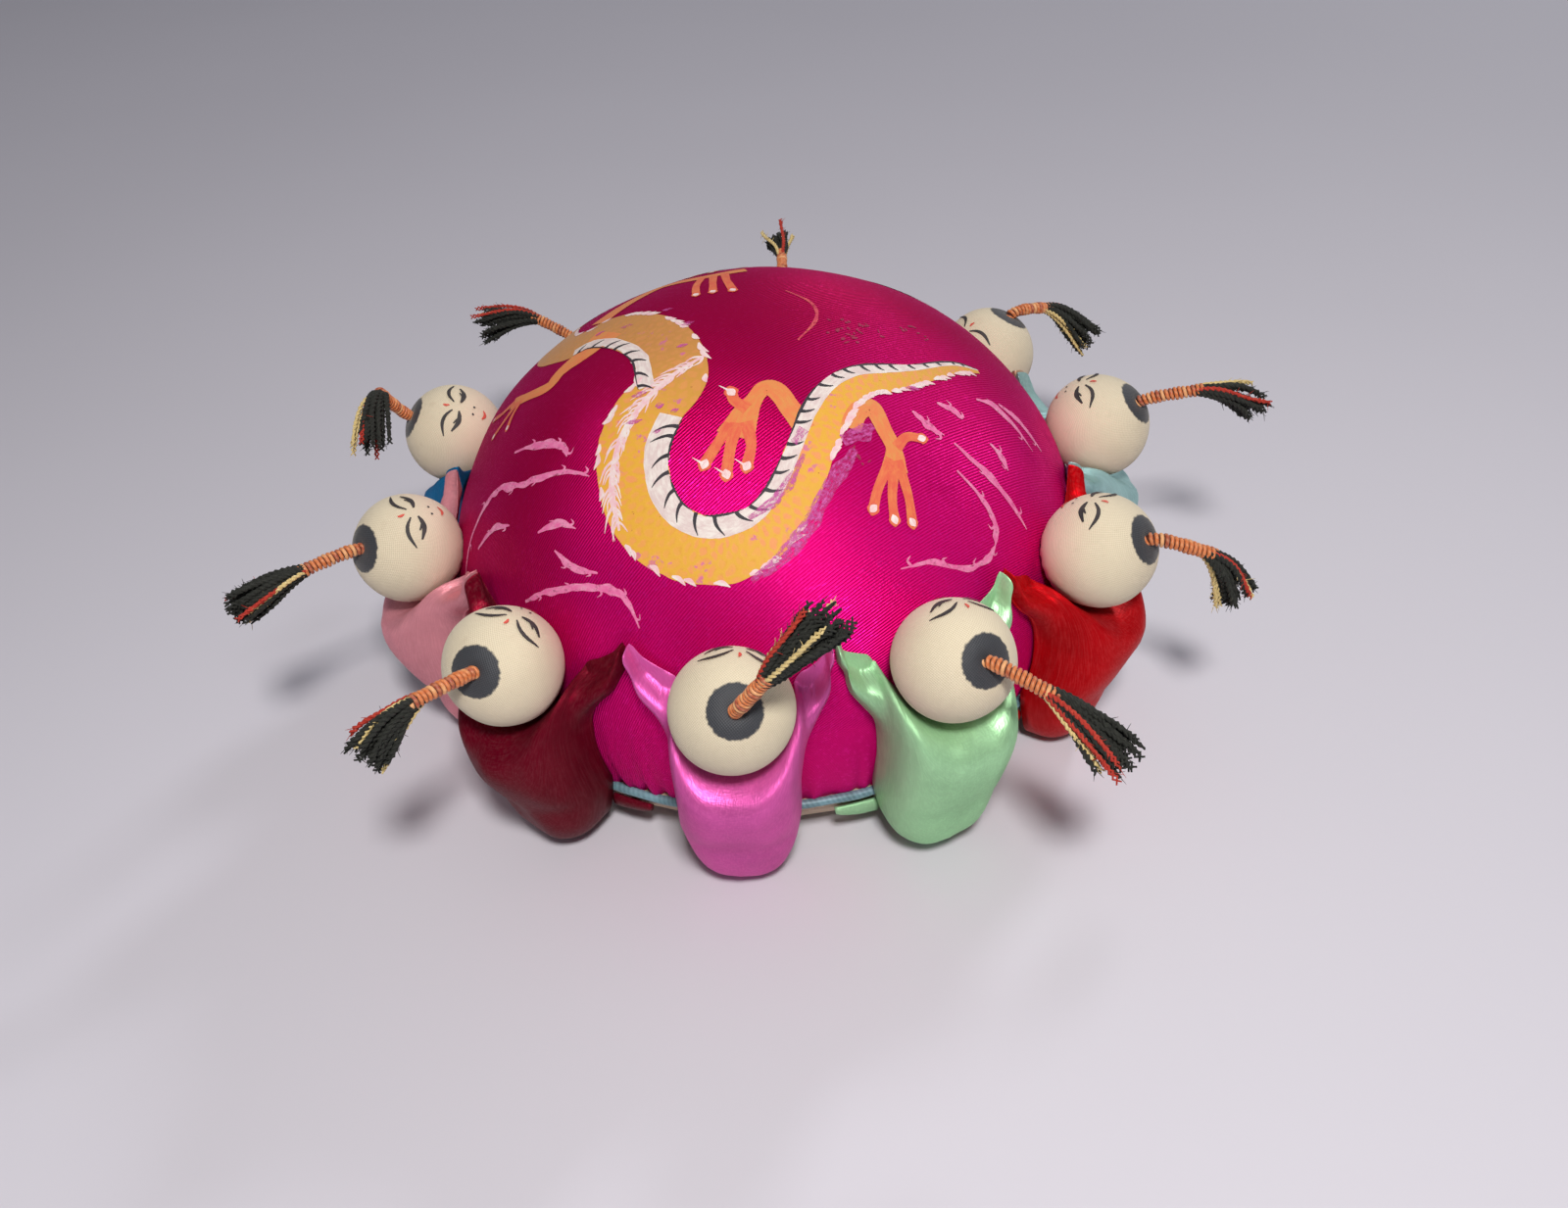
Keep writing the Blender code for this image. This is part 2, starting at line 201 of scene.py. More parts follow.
class ChildSettings(bpy.types.PropertyGroup):
    """Heads, robes and queues."""
    head: length("Head radius", "Radius of a head", 7.6)
    hair: FloatProperty(name="Hair", description="Half-angle of the painted hair", subtype="ANGLE",
                        unit="ROTATION", default=math.radians(25.8))
    thread: length("Thread", "Distance between two turns of the queue's thread", 0.62)
    wrap: length("Wrap", "Radius of the wrapped queue", 0.96)
    yarn: length("Yarn", "Radius of a tassel's yarn", 0.43)
    black_yarns: IntProperty(name="Black yarns", description="Black yarns in a tassel", default=22, min=1)
    muslin: colour("Muslin", "Colour of the heads", (0.71, 0.61, 0.43))
    flush: colour("Flush", "Colour of the faces", (0.82, 0.60, 0.47))
    hair_black: colour("Hair", "Colour of the painted hair", (0.014, 0.016, 0.021))


class StageSettings(bpy.types.PropertyGroup):
    """Floor, lights and camera."""
    focal: FloatProperty(name="Focal length", description="Camera lens in millimetres", default=31.05)
    pitch: FloatProperty(name="Pitch", description="How far the camera looks down", subtype="ANGLE",
                         unit="ROTATION", default=math.radians(38.2))
    roll: FloatProperty(name="Roll", description="How far the camera leans", subtype="ANGLE",
                        unit="ROTATION", default=math.radians(-5.2))
    distance: length("Distance", "How far in front of the cushion the camera stands", 168.4)
    height: length("Height", "Height of the camera above the table", 141.0)
    floor: colour("Floor", "Colour of the table", (0.66, 0.64, 0.70))


def mm(value):
    """A length property's value in millimetres."""
    return value / MM


# ---------------------------------------------------------------- materials

class Value:
    """A shader socket that can be used in a Python sum."""

    def __init__(self, finish, socket):
        self.finish = finish
        self.socket = socket

    def maths(self, operation, *terms):
        """A Math node's result."""
        sockets = dict(enumerate(terms))
        return self.finish.node("ShaderNodeMath", {"operation": operation}, sockets)

    def __add__(self, other):
        return self.maths("ADD", self, other)

    def __radd__(self, other):
        return self.maths("ADD", other, self)

    def __sub__(self, other):
        return self.maths("SUBTRACT", self, other)

    def __rsub__(self, other):
        return self.maths("SUBTRACT", other, self)

    def __mul__(self, other):
        return self.maths("MULTIPLY", self, other)

    def __rmul__(self, other):
        return self.maths("MULTIPLY", other, self)

    def __truediv__(self, other):
        return self.maths("DIVIDE", self, other)

    def sine(self):
        return self.maths("SINE", self)

    def part(self):
        """What is left after the whole turns are taken away."""
        return self.maths("FRACT", self)

    def whole(self):
        return self.maths("FLOOR", self)

    def size(self):
        return self.maths("ABSOLUTE", self)

    def root(self):
        return self.maths("SQRT", self)


class Finish:
    """One material, written as expressions."""

    def __init__(self, name):
        self.material = bpy.data.materials.new(name)
        self.material.use_nodes = True
        self.tree = self.material.node_tree
        self.tree.nodes.clear()

    def node(self, kind, settings=None, sockets=None, output=0):
        """Adds a node: its settings first, then the values or links of its sockets."""
        made = self.tree.nodes.new(kind)
        for name, value in (settings or {}).items():
            setattr(made, name, value)
        for name, value in (sockets or {}).items():
            if isinstance(value, Value):
                self.tree.links.new(value.socket, made.inputs[name])
            else:
                made.inputs[name].default_value = value
        return Value(self, made.outputs[output])

    def place(self):
        """Where a point is in the frame, in millimetres."""
        where = self.node("ShaderNodeTexCoord", output=3)
        return self.node("ShaderNodeVectorMath", {"operation": "SCALE"}, {0: where, "Scale": 1 / MM})

    def cloth(self):
        """Where a point is on the cloth as it was cut, in millimetres."""
        where = self.node("ShaderNodeUVMap")
        return self.node("ShaderNodeVectorMath", {"operation": "SCALE"}, {0: where, "Scale": CLOTH_SCALE})

    def pattern(self):
        """The place on the cloth, with its parts across and along."""
        where = self.cloth()
        return where, self.axis(where, 0), self.axis(where, 1)

    def axis(self, vector, index):
        return self.node("ShaderNodeSeparateXYZ", None, {0: vector}, index)

    def noise(self, vector, scale, detail=3.0, roughness=0.55, stretch=None):
        """Even noise from 0 to 1, scale in features a millimetre."""
        if stretch:
            vector = self.node("ShaderNodeVectorMath", {"operation": "MULTIPLY"}, {0: vector, 1: stretch})
        return self.node("ShaderNodeTexNoise", None, {"Vector": vector, "Scale": scale, "Detail": detail,
                                                      "Roughness": roughness})

    def step(self, value, low, high):
        """0 below low, 1 above high, smooth between them."""
        return self.node("ShaderNodeMapRange", {"interpolation_type": "SMOOTHSTEP"},
                         {"Value": value, "From Min": low, "From Max": high})

    def mix(self, share, first, second):
        """A colour between two."""
        colours = {0: share, 6: as_colour(first), 7: as_colour(second)}
        return self.node("ShaderNodeMix", {"data_type": "RGBA"}, colours, 2)

    def bump(self, height, distance, strength):
        """A normal raised by a height from 0 to 1 over a distance in millimetres."""
        sockets = {"Height": height, "Distance": distance * MM, "Strength": strength}
        return self.node("ShaderNodeBump", None, sockets)

    def surface(self, **sockets):
        """The shader and the output; names use underscores for spaces."""
        named = {}
        for name, value in sockets.items():
            named[name.replace("_", " ").title().replace("Ior", "IOR")] = as_colour(value)
        shader = self.node("ShaderNodeBsdfPrincipled", None, named)
        output = self.tree.nodes.new("ShaderNodeOutputMaterial")
        self.tree.links.new(shader.socket, output.inputs[0])
        return self.material


def as_colour(value):
    """A colour with its alpha, where three numbers are given."""
    if hasattr(value, "__len__") and len(value) == 3:
        return (*value, 1.0)
    return value


def shade(rgb, share, extra=0.0):
    """A colour made darker or lighter."""
    return tuple(min(1.0, c * share + extra) for c in rgb)


def dome_satin(settings):
    """Raspberry satin: diagonal twill lines, floats with a painted highlight, a soft magenta sheen, old wear,
    and painted light that is lighter towards the front and right and darker towards the top.
    """
    finish = Finish("dome_satin")
    place = finish.place()
    _, across, along = finish.pattern()
    slow = finish.noise(place, 0.035, 2.0)
    warp = finish.noise(place, 0.12, 2.0)
    diagonal = across * -math.sin(math.radians(36.0)) + along * math.cos(math.radians(36.0))
    lines = (diagonal * (math.tau / mm(settings.twill)) + warp * 5.0).sine() * 0.5 + 0.5
    floats = finish.noise(place, 1.5, 2.0, 0.7, (1.0, 1.7, 1.0))
    specks = finish.step(floats, 0.52, 0.72)
    side = finish.axis(place, 0)
    front = finish.axis(place, 1)
    height = finish.axis(place, 2)
    # Painted light and shade: the satin goes from its shaded to its lit colour towards the front and the
    # right, and is darker towards the top, with slow random patches.
    tone = finish.step(side * 0.011 - front * 0.019 - (height - 30.0) * 0.010 + slow * 1.1, 0.35, 1.25)
    ground = finish.mix(tone, settings.satin, settings.bright)
    # Painted highlight: the twill lines and floats are real weave, drawn in a lighter magenta that grows with
    # the painted light.
    threads = finish.mix((lines * 0.70 + specks * 0.45) * (tone * 0.6 + 0.25), ground, (0.92, 0.012, 0.32))
    grime = finish.step(finish.noise(place, 0.09, 5.0, 0.65), 0.56, 0.78)
    aged = finish.mix(grime * 0.3, threads, (0.22, 0.0, 0.05))
    raised = lines * 0.75 + floats * 0.6
    rough = 0.47 - specks * 0.12 + grime * 0.12
    return finish.surface(base_color=aged, roughness=rough, normal=finish.bump(raised, 0.10, 0.9),
                          metallic=0.65, specular_ior_level=0.25, specular_tint=(1.0, 0.05, 0.75),
                          sheen_weight=0.06, sheen_roughness=0.35, sheen_tint=(0.95, 0.02, 0.35))


def robe_satin(name, rgb):
    """Fine satin of one child's robe, with lighter floats and darker soiled patches."""
    finish = Finish(name)
    place = finish.place()
    where = finish.cloth()
    slow = finish.noise(place, 0.11, 3.0)
    fine = finish.noise(place, 2.2, 2.0, 0.6)
    weft = finish.noise(where, 4.2, 1.0, 0.5, (0.30, 1.0, 1.0))
    warp = finish.noise(where, 4.2, 1.0, 0.5, (1.0, 0.30, 1.0))
    threads = finish.step(weft * 0.5 + warp * 0.5, 0.30, 0.70)
    light = shade(rgb, 1.3, 0.07)
    ground = finish.mix(finish.step(slow, 0.3, 0.7), shade(rgb, 0.78), rgb)
    shot = finish.mix(finish.step(threads * 0.6 + fine * 0.5, 0.35, 1.0) * 0.25, ground, light)
    soiled = finish.step(finish.noise(place, 0.3, 5.0, 0.65), 0.6, 0.8)
    worn = finish.mix(soiled * 0.16, shot, shade(rgb, 0.45))
    height = threads * 0.6 + fine * 0.3
    rough = 0.45 - threads * 0.08 + soiled * 0.12
    tint = shade(rgb, 1.4, 0.03)
    return finish.surface(base_color=worn, roughness=rough, normal=finish.bump(height, 0.035, 0.8),
                          metallic=0.40, specular_ior_level=0.35, specular_tint=tint, sheen_weight=0.05,
                          sheen_roughness=0.35, sheen_tint=tint)


def cord_satin(settings):
    """Pale teal satin piping with a slanting weave."""
    finish = Finish("cord_satin")
    _, across, along = finish.pattern()
    place = finish.place()
    slant = ((along * 9.0 + across * 3.0).sine() * 0.5 + 0.5)
    patch = finish.noise(place, 0.25, 3.0)
    ground = finish.mix(finish.step(patch, 0.3, 0.75), shade(settings.cord, 0.45), tuple(settings.cord))
    woven = finish.mix(slant * 0.22, ground, shade(settings.cord, 1.5, 0.08))
    height = slant * 0.25 + finish.noise(place, 2.0) * 0.4
    return finish.surface(base_color=woven, roughness=0.42 + patch * 0.12,
                          normal=finish.bump(height, 0.06, 0.7), metallic=0.1, sheen_weight=0.3,
                          sheen_tint=(0.6, 0.85, 0.9))


def muslin(settings):
    """Muslin drawn over a ball, with the hair painted on it as a round black patch."""
    finish = Finish("head_muslin")
    where, across, along = finish.pattern()
    place = finish.place()
    warp = finish.noise(place, 0.3, 2.0)
    grid = math.tau / 0.37
    weave = ((across * grid + warp * 2.5).sine() * (along * grid + warp * 2.5).sine()) * 0.5 + 0.5
    slub = finish.noise(place, 1.3, 3.0, 0.7, (1.0, 1.0, 0.4))
    reach = (across * across + along * along).root()
    rough_edge = finish.noise(where, 1.6, 3.0) * 0.7
    edge = mm(settings.head) * settings.hair
    hair = 1.0 - finish.step(reach + rough_edge, edge + 0.15, edge + 0.5)
    tone = finish.step(finish.noise(place, 0.11, 3.0), 0.3, 0.75)
    blush = finish.step(reach, 8.0, 13.0) * 0.65
    cloth = finish.mix(tone * 0.5, settings.muslin, shade(settings.muslin, 0.84))
    cloth = finish.mix(blush, cloth, settings.flush)
    cloth = finish.mix((1.0 - weave) * 0.34, cloth, (0.40, 0.31, 0.20))
    cloth = finish.mix(weave * 0.30 + slub * 0.16, cloth, (0.92, 0.84, 0.66))
    black = finish.mix(weave * 0.22 + slub * 0.12, settings.hair_black, (0.13, 0.14, 0.16))
    smudge = finish.step(finish.noise(place, 0.5, 4.0), 0.62, 0.8) * 0.15
    skin = finish.mix(smudge, cloth, (0.42, 0.30, 0.19))
    return finish.surface(base_color=finish.mix(hair, skin, black), roughness=0.78 - hair * 0.22,
                          normal=finish.bump(weave * 0.8 + slub * 0.5, 0.06, 0.85), sheen_weight=0.15,
                          sheen_tint=(1.0, 0.95, 0.85))


def yarn(name, rgb, light):
    """Two-ply yarn with fibres standing out in paler streaks."""
    finish = Finish(name)
    where = finish.cloth()
    place = finish.place()
    fibres = finish.noise(where, 2.4, 4.0, 0.7, (3.0, 0.5, 1.0))
    fuzz = finish.noise(place, 3.0, 3.0, 0.7)
    tone = finish.mix(finish.step(fibres, 0.4, 0.8), rgb, light)
    return finish.surface(base_color=finish.mix(fuzz * 0.3, tone, shade(rgb, 0.5)),
                          roughness=0.82 + fuzz * 0.1, normal=finish.bump(fibres + fuzz, 0.08, 0.8),
                          sheen_weight=0.25, sheen_tint=light)


def wrap_thread():
    """Button thread wound round a queue: orange, red-brown and tan turns."""
    finish = Finish("queue_thread")
    where, across, along = finish.pattern()
    place = finish.place()
    turn = finish.noise(where, 0.9, 1.0, 0.5, (0.01, 0.16, 1.0))
    tan = finish.mix(finish.step(turn, 0.54, 0.62), (0.60, 0.15, 0.035), (0.76, 0.38, 0.16))
    hue = finish.mix(finish.step(turn, 0.38, 0.46), (0.33, 0.045, 0.018), tan)
    twist = (along * 9.0 + across * 4.0).sine() * 0.5 + 0.5
    fuzz = finish.noise(place, 3.0, 3.0)
    return finish.surface(base_color=finish.mix(twist * 0.25 + fuzz * 0.12, hue, (0.80, 0.42, 0.20)),
                          roughness=0.38 + fuzz * 0.2, normal=finish.bump(twist + fuzz * 0.4, 0.05, 0.7),
                          sheen_weight=0.1)


def body_paint(settings):
    """Yellow gouache with pinkish scales, brushed thin and rubbed."""
    finish = Finish("dragon_body_paint")
    where, across, along = finish.pattern()
    place = finish.place()
    bend = finish.noise(place, 0.45, 3.0) * 2.2
    row = (along / 1.15 + bend).whole()
    shift = (row * 0.5).part()
    cell_along = ((along / 1.15 + bend).part() - 0.5).size() * 2.0
    cell_across = ((across / 1.9 + shift + bend * 0.5).part() - 0.5).size() * 2.0
    oval = (cell_along * cell_along + cell_across * cell_across).root()
    scale = 1.0 - finish.step(oval, 0.5, 0.9)
    patchy = finish.step(finish.noise(place, 0.22, 3.0), 0.38, 0.62)
    lower = finish.step(along, 96.0, 118.0) * (1.0 - finish.step(along, 172.0, 190.0) * 0.35)
    ground = finish.mix(lower * 0.9 + 0.05, shade(settings.orange, 0.72), settings.yellow)
    scales = scale * (patchy * 0.5 + 0.25) * (lower * 0.75 + 0.25)
    scaled = finish.mix(scales, ground, (0.80, 0.25, 0.11))
    streaks = finish.noise(where, 0.9, 4.0, 0.7, (1.0, 0.3, 1.0))
    brushed = finish.mix(streaks * 0.14, scaled, (0.86, 0.56, 0.12))
    flecks = finish.step(finish.noise(place, 0.42, 3.0, 0.7), 0.62, 0.69)
    worn = finish.mix(flecks * 0.65, brushed, settings.worn)
    thin = finish.noise(place, 1.4, 5.0, 0.75)
    alpha = 1.0 - finish.step(thin, 0.66, 0.74) * 0.8
    return finish.surface(base_color=worn, roughness=0.55 + thin * 0.2, alpha=alpha,
                          normal=finish.bump(scale * 0.4 + thin, 0.06, 0.6), sheen_weight=0.08)


def brush_paint(name, rgb, second, gaps=0.62, softness=0.12, grain=0.9):
    """One brushed colour with streaks along the stroke and gaps where the satin shows through."""
    finish = Finish(name)
    where = finish.cloth()
    place = finish.place()
    streaks = finish.noise(where, grain, 4.0, 0.7, (2.4, 0.5, 1.0))
    patch = finish.noise(place, 0.6, 3.0)
    thin = finish.noise(place, 1.7, 5.0, 0.75)
    hue = finish.mix(finish.step(streaks * 0.6 + patch * 0.4, 0.38, 0.66), second, rgb)
    alpha = 1.0 - finish.step(thin * 0.55 + streaks * 0.45, gaps, gaps + softness)
    return finish.surface(base_color=hue, roughness=0.58 + thin * 0.15, alpha=alpha,
                          normal=finish.bump(streaks + thin * 0.5, 0.05, 0.5), sheen_weight=0.05)


def lining_cloth():
    """Plain buff cotton of the underside."""
    finish = Finish("lining_cotton")
    place = finish.place()
    x, y = finish.axis(place, 0), finish.axis(place, 1)
    weave = ((x * 14.0).sine() * (y * 14.0).sine()) * 0.5 + 0.5
    stain = finish.noise(place, 0.06, 4.0)
    hue = finish.mix(finish.step(stain, 0.35, 0.7), (0.50, 0.38, 0.26), (0.62, 0.50, 0.36))
    hue = finish.mix(weave * 0.2, hue, (0.74, 0.64, 0.5))
    return finish.surface(base_color=hue, roughness=0.82 + stain * 0.08,
                          normal=finish.bump(weave + finish.noise(place, 1.2), 0.06, 0.7))


def board_card():
    """Grey-brown card with fibres."""
    finish = Finish("board_card")
    place = finish.place()
    fibres = finish.noise(place, 0.8, 6.0, 0.7, (1.0, 0.4, 3.0))
    hue = finish.mix(fibres, (0.24, 0.18, 0.12), (0.42, 0.34, 0.25))
    return finish.surface(base_color=hue, roughness=0.85 + fibres * 0.1,
                          normal=finish.bump(fibres, 0.05, 0.5))


def floor_paper(settings):
    """Matt pale table with a faint unevenness."""
    finish = Finish("floor_paper")
    place = finish.place()
    drift = finish.noise(place, 0.004, 3.0)
    grain = finish.noise(place, 0.8, 4.0)
    share = finish.step(drift, 0.3, 0.7) * 0.6 + grain * 0.1
    hue = finish.mix(share, settings.floor, shade(settings.floor, 0.95))
    return finish.surface(base_color=hue, roughness=0.62 + grain * 0.08,
                          normal=finish.bump(grain, 0.02, 0.2), specular_ior_level=0.3)


# ---------------------------------------------------------------- shapes

def smooth_line(points, spans):
    """Points of an even curve through the given ones, with a number of steps between each two."""
    given = np.array(points, float)
    if given.ndim == 1:
        given = given[:, None]
    padded = np.vstack([2 * given[0] - given[1], given, 2 * given[-1] - given[-2]])
    made = []
    for a, b, c, d in zip(padded, padded[1:], padded[2:], padded[3:]):
        for t in np.arange(spans) / spans:
            made.append(0.5 * (2 * b + (c - a) * t + (2 * a - 5 * b + 4 * c - d) * t * t
                               + (3 * b - a - 3 * c + d) * t ** 3))
    made.append(given[-1])
    return np.array(made)


def headings(path):
    """Unit steps ahead along a path."""
    ahead = np.gradient(path, axis=0)
    return ahead / np.linalg.norm(ahead, axis=1)[:, None]


def distances(path):
    """How far each point of a path is from its start, along the path."""
    steps = np.linalg.norm(np.diff(np.asarray(path, float), axis=0), axis=1)
    return np.concatenate([[0], np.cumsum(steps)])


def leftward(ahead):
    """Steps to the left of steps on the dome's map."""
    return np.stack([-ahead[:, 1], ahead[:, 0]], -1)


def waves(seed, count, shortest, longest):
    """Directions and phases of gentle waves that add up to an even unevenness."""
    pick = np.random.default_rng(seed)
    heading = pick.normal(size=(count, 3))
    heading /= np.linalg.norm(heading, axis=1)[:, None]
    heading *= math.tau / pick.uniform(shortest, longest, count)[:, None]
    return heading, pick.uniform(0, math.tau, count)


def ripple(points, kit):
    """Unevenness from -1 to 1 or so at each point."""
    heading, phase = kit
    return np.sin(np.asarray(points) @ heading.T + phase).sum(-1) / math.sqrt(len(phase))


class Shape:
    """The patches of a piece, in millimetres, and where they lie on the cloth as it was cut."""

    def __init__(self):
        self.points = []
        self.faces = []
        self.places = []
        self.count = 0

    def patch(self, grid, places, wrap=False, caps=False):
        """Adds a grid of points. The places have one more column than the points where it wraps."""
        grid, places = np.asarray(grid, float), np.asarray(places, float)
        rows, columns = grid.shape[:2]
        right = columns if wrap else columns - 1
        for i in range(rows - 1):
            for j in range(right):
                k = (j + 1) % columns
                corners = ((i, j, j), (i, k, j + 1), (i + 1, k, j + 1), (i + 1, j, j))
                self.faces.append([self.count + r * columns + c for r, c, _ in corners])
                self.places.append([places[r, p] for r, _, p in corners])
        if caps:
            for row, order in ((0, range(columns - 1, -1, -1)), (rows - 1, range(columns))):
                self.faces.append([self.count + row * columns + c for c in order])
                self.places.append([places[row, c] for c in order])
        self.points.append(grid.reshape(-1, 3))
        self.count += rows * columns
        return self

    def tube(self, path, radii, sides=8, lead=0.0):
        """Adds a round tube along a path."""
        path = np.asarray(path, float)
        ahead = headings(path)
        side = np.cross(ahead[0], (0.3, 0.5, 0.8))
        travelled = distances(path)
        angles = np.arange(sides + 1) / sides * math.tau
        grid, places = [], []
        for centre, forward, radius, way in zip(path, ahead, radii, travelled):
            side = side - forward * side.dot(forward)
            side /= np.linalg.norm(side)
            up = np.cross(forward, side)
            ring = [centre + radius * (side * math.cos(a) + up * math.sin(a)) for a in angles[:-1]]
            grid.append(ring)
            places.append([(a * radius, lead + way) for a in angles])
        return self.patch(grid, places, wrap=True, caps=True)

    def piece(self, name, material, slot=None):
        """Makes the object, in metres, with smooth faces and its places as a UV map."""
        mesh = bpy.data.meshes.new(name)
        points = np.vstack(self.points) * MM
        mesh.from_pydata(points.tolist(), [], self.faces)
        layer = mesh.uv_layers.new(name="cloth")
        flat = np.array([p for face in self.places for p in face], float) / CLOTH_SCALE
        layer.data.foreach_set("uv", flat.ravel().astype(np.float32))
        mesh.shade_smooth()
        mesh.materials.append(material)
        made = bpy.data.objects.new(name, mesh)
        bpy.context.scene.collection.objects.link(made)
        return made


def outward(made):
    """Turns the faces outward."""
    work = bmesh.new()
    work.from_mesh(made.data)
    bmesh.ops.recalc_face_normals(work, faces=work.faces)
    work.to_mesh(made.data)
    work.free()
    return made


# ---------------------------------------------------------------- the frame's own places

def joint_place(name):
    """Where a joint is, in millimetres."""
    found = next(j for j in frame["joints"] if j["name"] == name)
    return np.array(found["pos_m"]) / MM


def unit(vector):
    return np.asarray(vector, float) / np.linalg.norm(vector)


class Child:
    """Places and directions of one child, from the frame."""

    def __init__(self, number):
        self.number = number
        self.name = f"child_{number}"
        low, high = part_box(f"{self.name}_head")
        self.centre = np.array((low + high) / 2) / MM
        self.azimuth = math.degrees(math.atan2(self.centre[0], -self.centre[1]))
        self.root = joint_place(f"{self.name}_queue_swing")
        self.crown = unit(self.root - self.centre)
        self.wrap_end = joint_place(f"{self.name}_tassel_swing")
        self.wrap_way = unit(self.wrap_end - self.root)
        mesh = frame["nodes"][f"{self.name}_queue_tassel"].data
        corners = np.array([v.co for v in mesh.vertices]) / MM
        self.tassel_way = unit(corners.mean(0) - self.wrap_end)
        self.tassel_length = float(((corners - self.wrap_end) @ self.tassel_way).max())

    def reach(self, side):
        """Degrees to the point half-way to the next child on that side."""
        gaps = [((other.azimuth - self.azimuth) * side) % 360 for other in ALL.values() if other is not self]
        return min(gaps) / 2

    def head_way(self, from_crown, to_side):
        """Direction from the head's centre, by degrees from the crown and from the face's middle."""
        up = np.array((0.0, 0.0, 1.0))
        face = unit(up - self.crown * up.dot(self.crown))
        side = np.cross(self.crown, face)
        turn = math.radians(to_side + FACE_TURN[self.number])
        tilt = math.radians(from_crown)
        around = face * math.cos(turn) + side * math.sin(turn)
        return self.crown * math.cos(tilt) + around * math.sin(tilt)


ALL = {}
for _number in CHILDREN:
    ALL[_number] = Child(_number)


# ---------------------------------------------------------------- dome

SWELL = waves(3, 9, 20.0, 45.0)


def gather_kit():
    """Whole numbers of gathers round the seam, mixed so that no two are alike."""
    pick = np.random.default_rng(8)
    return pick.integers(60, 150, 12), pick.uniform(0, math.tau, 12)


def dome_profile(tilt):
    """Radius, height and outward slope of the smooth dome; tilt is degrees from the top, 120 at the seam."""
    s = bpy.context.scene.pincushion_dome
    wide, crown, waist, seam, tuck = (mm(v) for v in (s.radius, s.crown, s.waist, s.seam, s.tuck))
    tilt = np.asarray(tilt, float)
    upper = np.radians(np.minimum(tilt, 90.0))
    drop = np.clip(tilt - 90.0, 0.0, 30.0) / 30.0 * (waist - seam)
    fullness = 2.4
    lower_radius = wide * (1.0 - (drop / tuck) ** fullness) ** (1.0 / fullness)
    below = tilt > 90.0
    radius = np.where(below, lower_radius, wide * np.sin(upper))
    height = np.where(below, waist - drop, waist + crown * np.cos(upper))
    out = np.where(below, (lower_radius / wide) ** (fullness - 1) / wide, np.sin(upper) / wide)
    rise = np.where(below, -((drop / tuck) ** (fullness - 1)) / tuck, np.cos(upper) / crown)
    size = np.hypot(out, rise)
    return radius, height, out / size, rise / size


def dome_radius_at(height):
    """Radius of the smooth dome at a height."""
    s = bpy.context.scene.pincushion_dome
    wide, crown, waist, tuck = (mm(v) for v in (s.radius, s.crown, s.waist, s.tuck))
    if height >= waist:
        return wide * math.sqrt(max(0.0, 1.0 - ((height - waist) / crown) ** 2))
    return wide * (1.0 - ((waist - height) / tuck) ** 2.4) ** (1.0 / 2.4)


def dome_surface(azimuth, tilt, lift=0.0):
    """Points of the satin: azimuth in radians from the front, tilt in degrees from the top."""
    s = bpy.context.scene.pincushion_dome
    azimuth = np.asarray(azimuth, float)
    radius, height, out, rise = dome_profile(tilt)
    azimuth, radius, height, out, rise = np.broadcast_arrays(azimuth, radius, height, out, rise)
    heading = np.stack([np.sin(azimuth), -np.cos(azimuth), np.zeros_like(azimuth)], -1)
    up = np.zeros_like(heading)
    up[..., 2] = 1.0
    smooth = heading * radius[..., None] + up * height[..., None]
    raised = mm(s.swell) * ripple(smooth, SWELL)
    counts, phases = gather_kit()
    fold = np.sin(azimuth[..., None] * counts + phases).sum(-1) / math.sqrt(len(counts))
    fade = np.exp(-np.clip(height - mm(s.seam), 0.0, None) / 5.5)
    raised = raised * (1.0 - fade) + mm(s.gather) * fade * fold
    normal = heading * out[..., None] + up * rise[..., None]
    points = smooth + normal * (raised + lift)[..., None]
    room = mm(bpy.context.scene.pincushion_children.head) + 0.12
    for child in ALL.values():
        apart = points - child.centre
        inward = -heading
        b = (apart * inward).sum(-1)
        c = (apart * apart).sum(-1) - (room - lift) ** 2
        inside = c < 0
        way = np.where(inside, -b + np.sqrt(np.where(inside, b * b - c, 0.0)), 0.0)
        points = points + inward * way[..., None]
    return points


def on_map(across, back, lift):
    """Point of the satin at a place on the dome's map."""
    across, back = np.asarray(across, float), np.asarray(back, float)
    return dome_surface(np.arctan2(across, -back), np.hypot(across, back), lift)


def build_dome(settings):
    """The satin cover, closed below over the board."""
    turns = 540
    azimuth = np.arange(turns) / turns * math.tau
    tilts = np.concatenate([np.linspace(0.4, 90, 96), np.linspace(91, 120, 44)])
    grid = dome_surface(azimuth[None, :], tilts[:, None])
    hem = grid[-1]
    under = []
    for share, height in ((0.985, 8.3), (0.955, 8.1), (0.88, 6.3), (0.78, 3.3), (0.4, 2.8), (0.01, 2.8)):
        ring = hem * (share, share, 0.0)
        ring[:, 2] = height
        under.append(ring)
    grid = np.concatenate([grid, np.array(under)])
    flat = mm(settings.radius) * np.radians(np.concatenate([tilts, np.linspace(121, 150, len(under))]))
    turn = np.append(azimuth, math.tau)
    places = np.stack([flat[:, None] * np.sin(turn), -flat[:, None] * np.cos(turn)], -1)
    cover = Shape().patch(grid, places, wrap=True, caps=True).piece("dome_satin_cover", dome_satin(settings),
                                                                   "dome_cover")
    outward(cover)
    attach(cover, CUSHION)
    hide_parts("dome_cover", "dome_filling")
    return cover


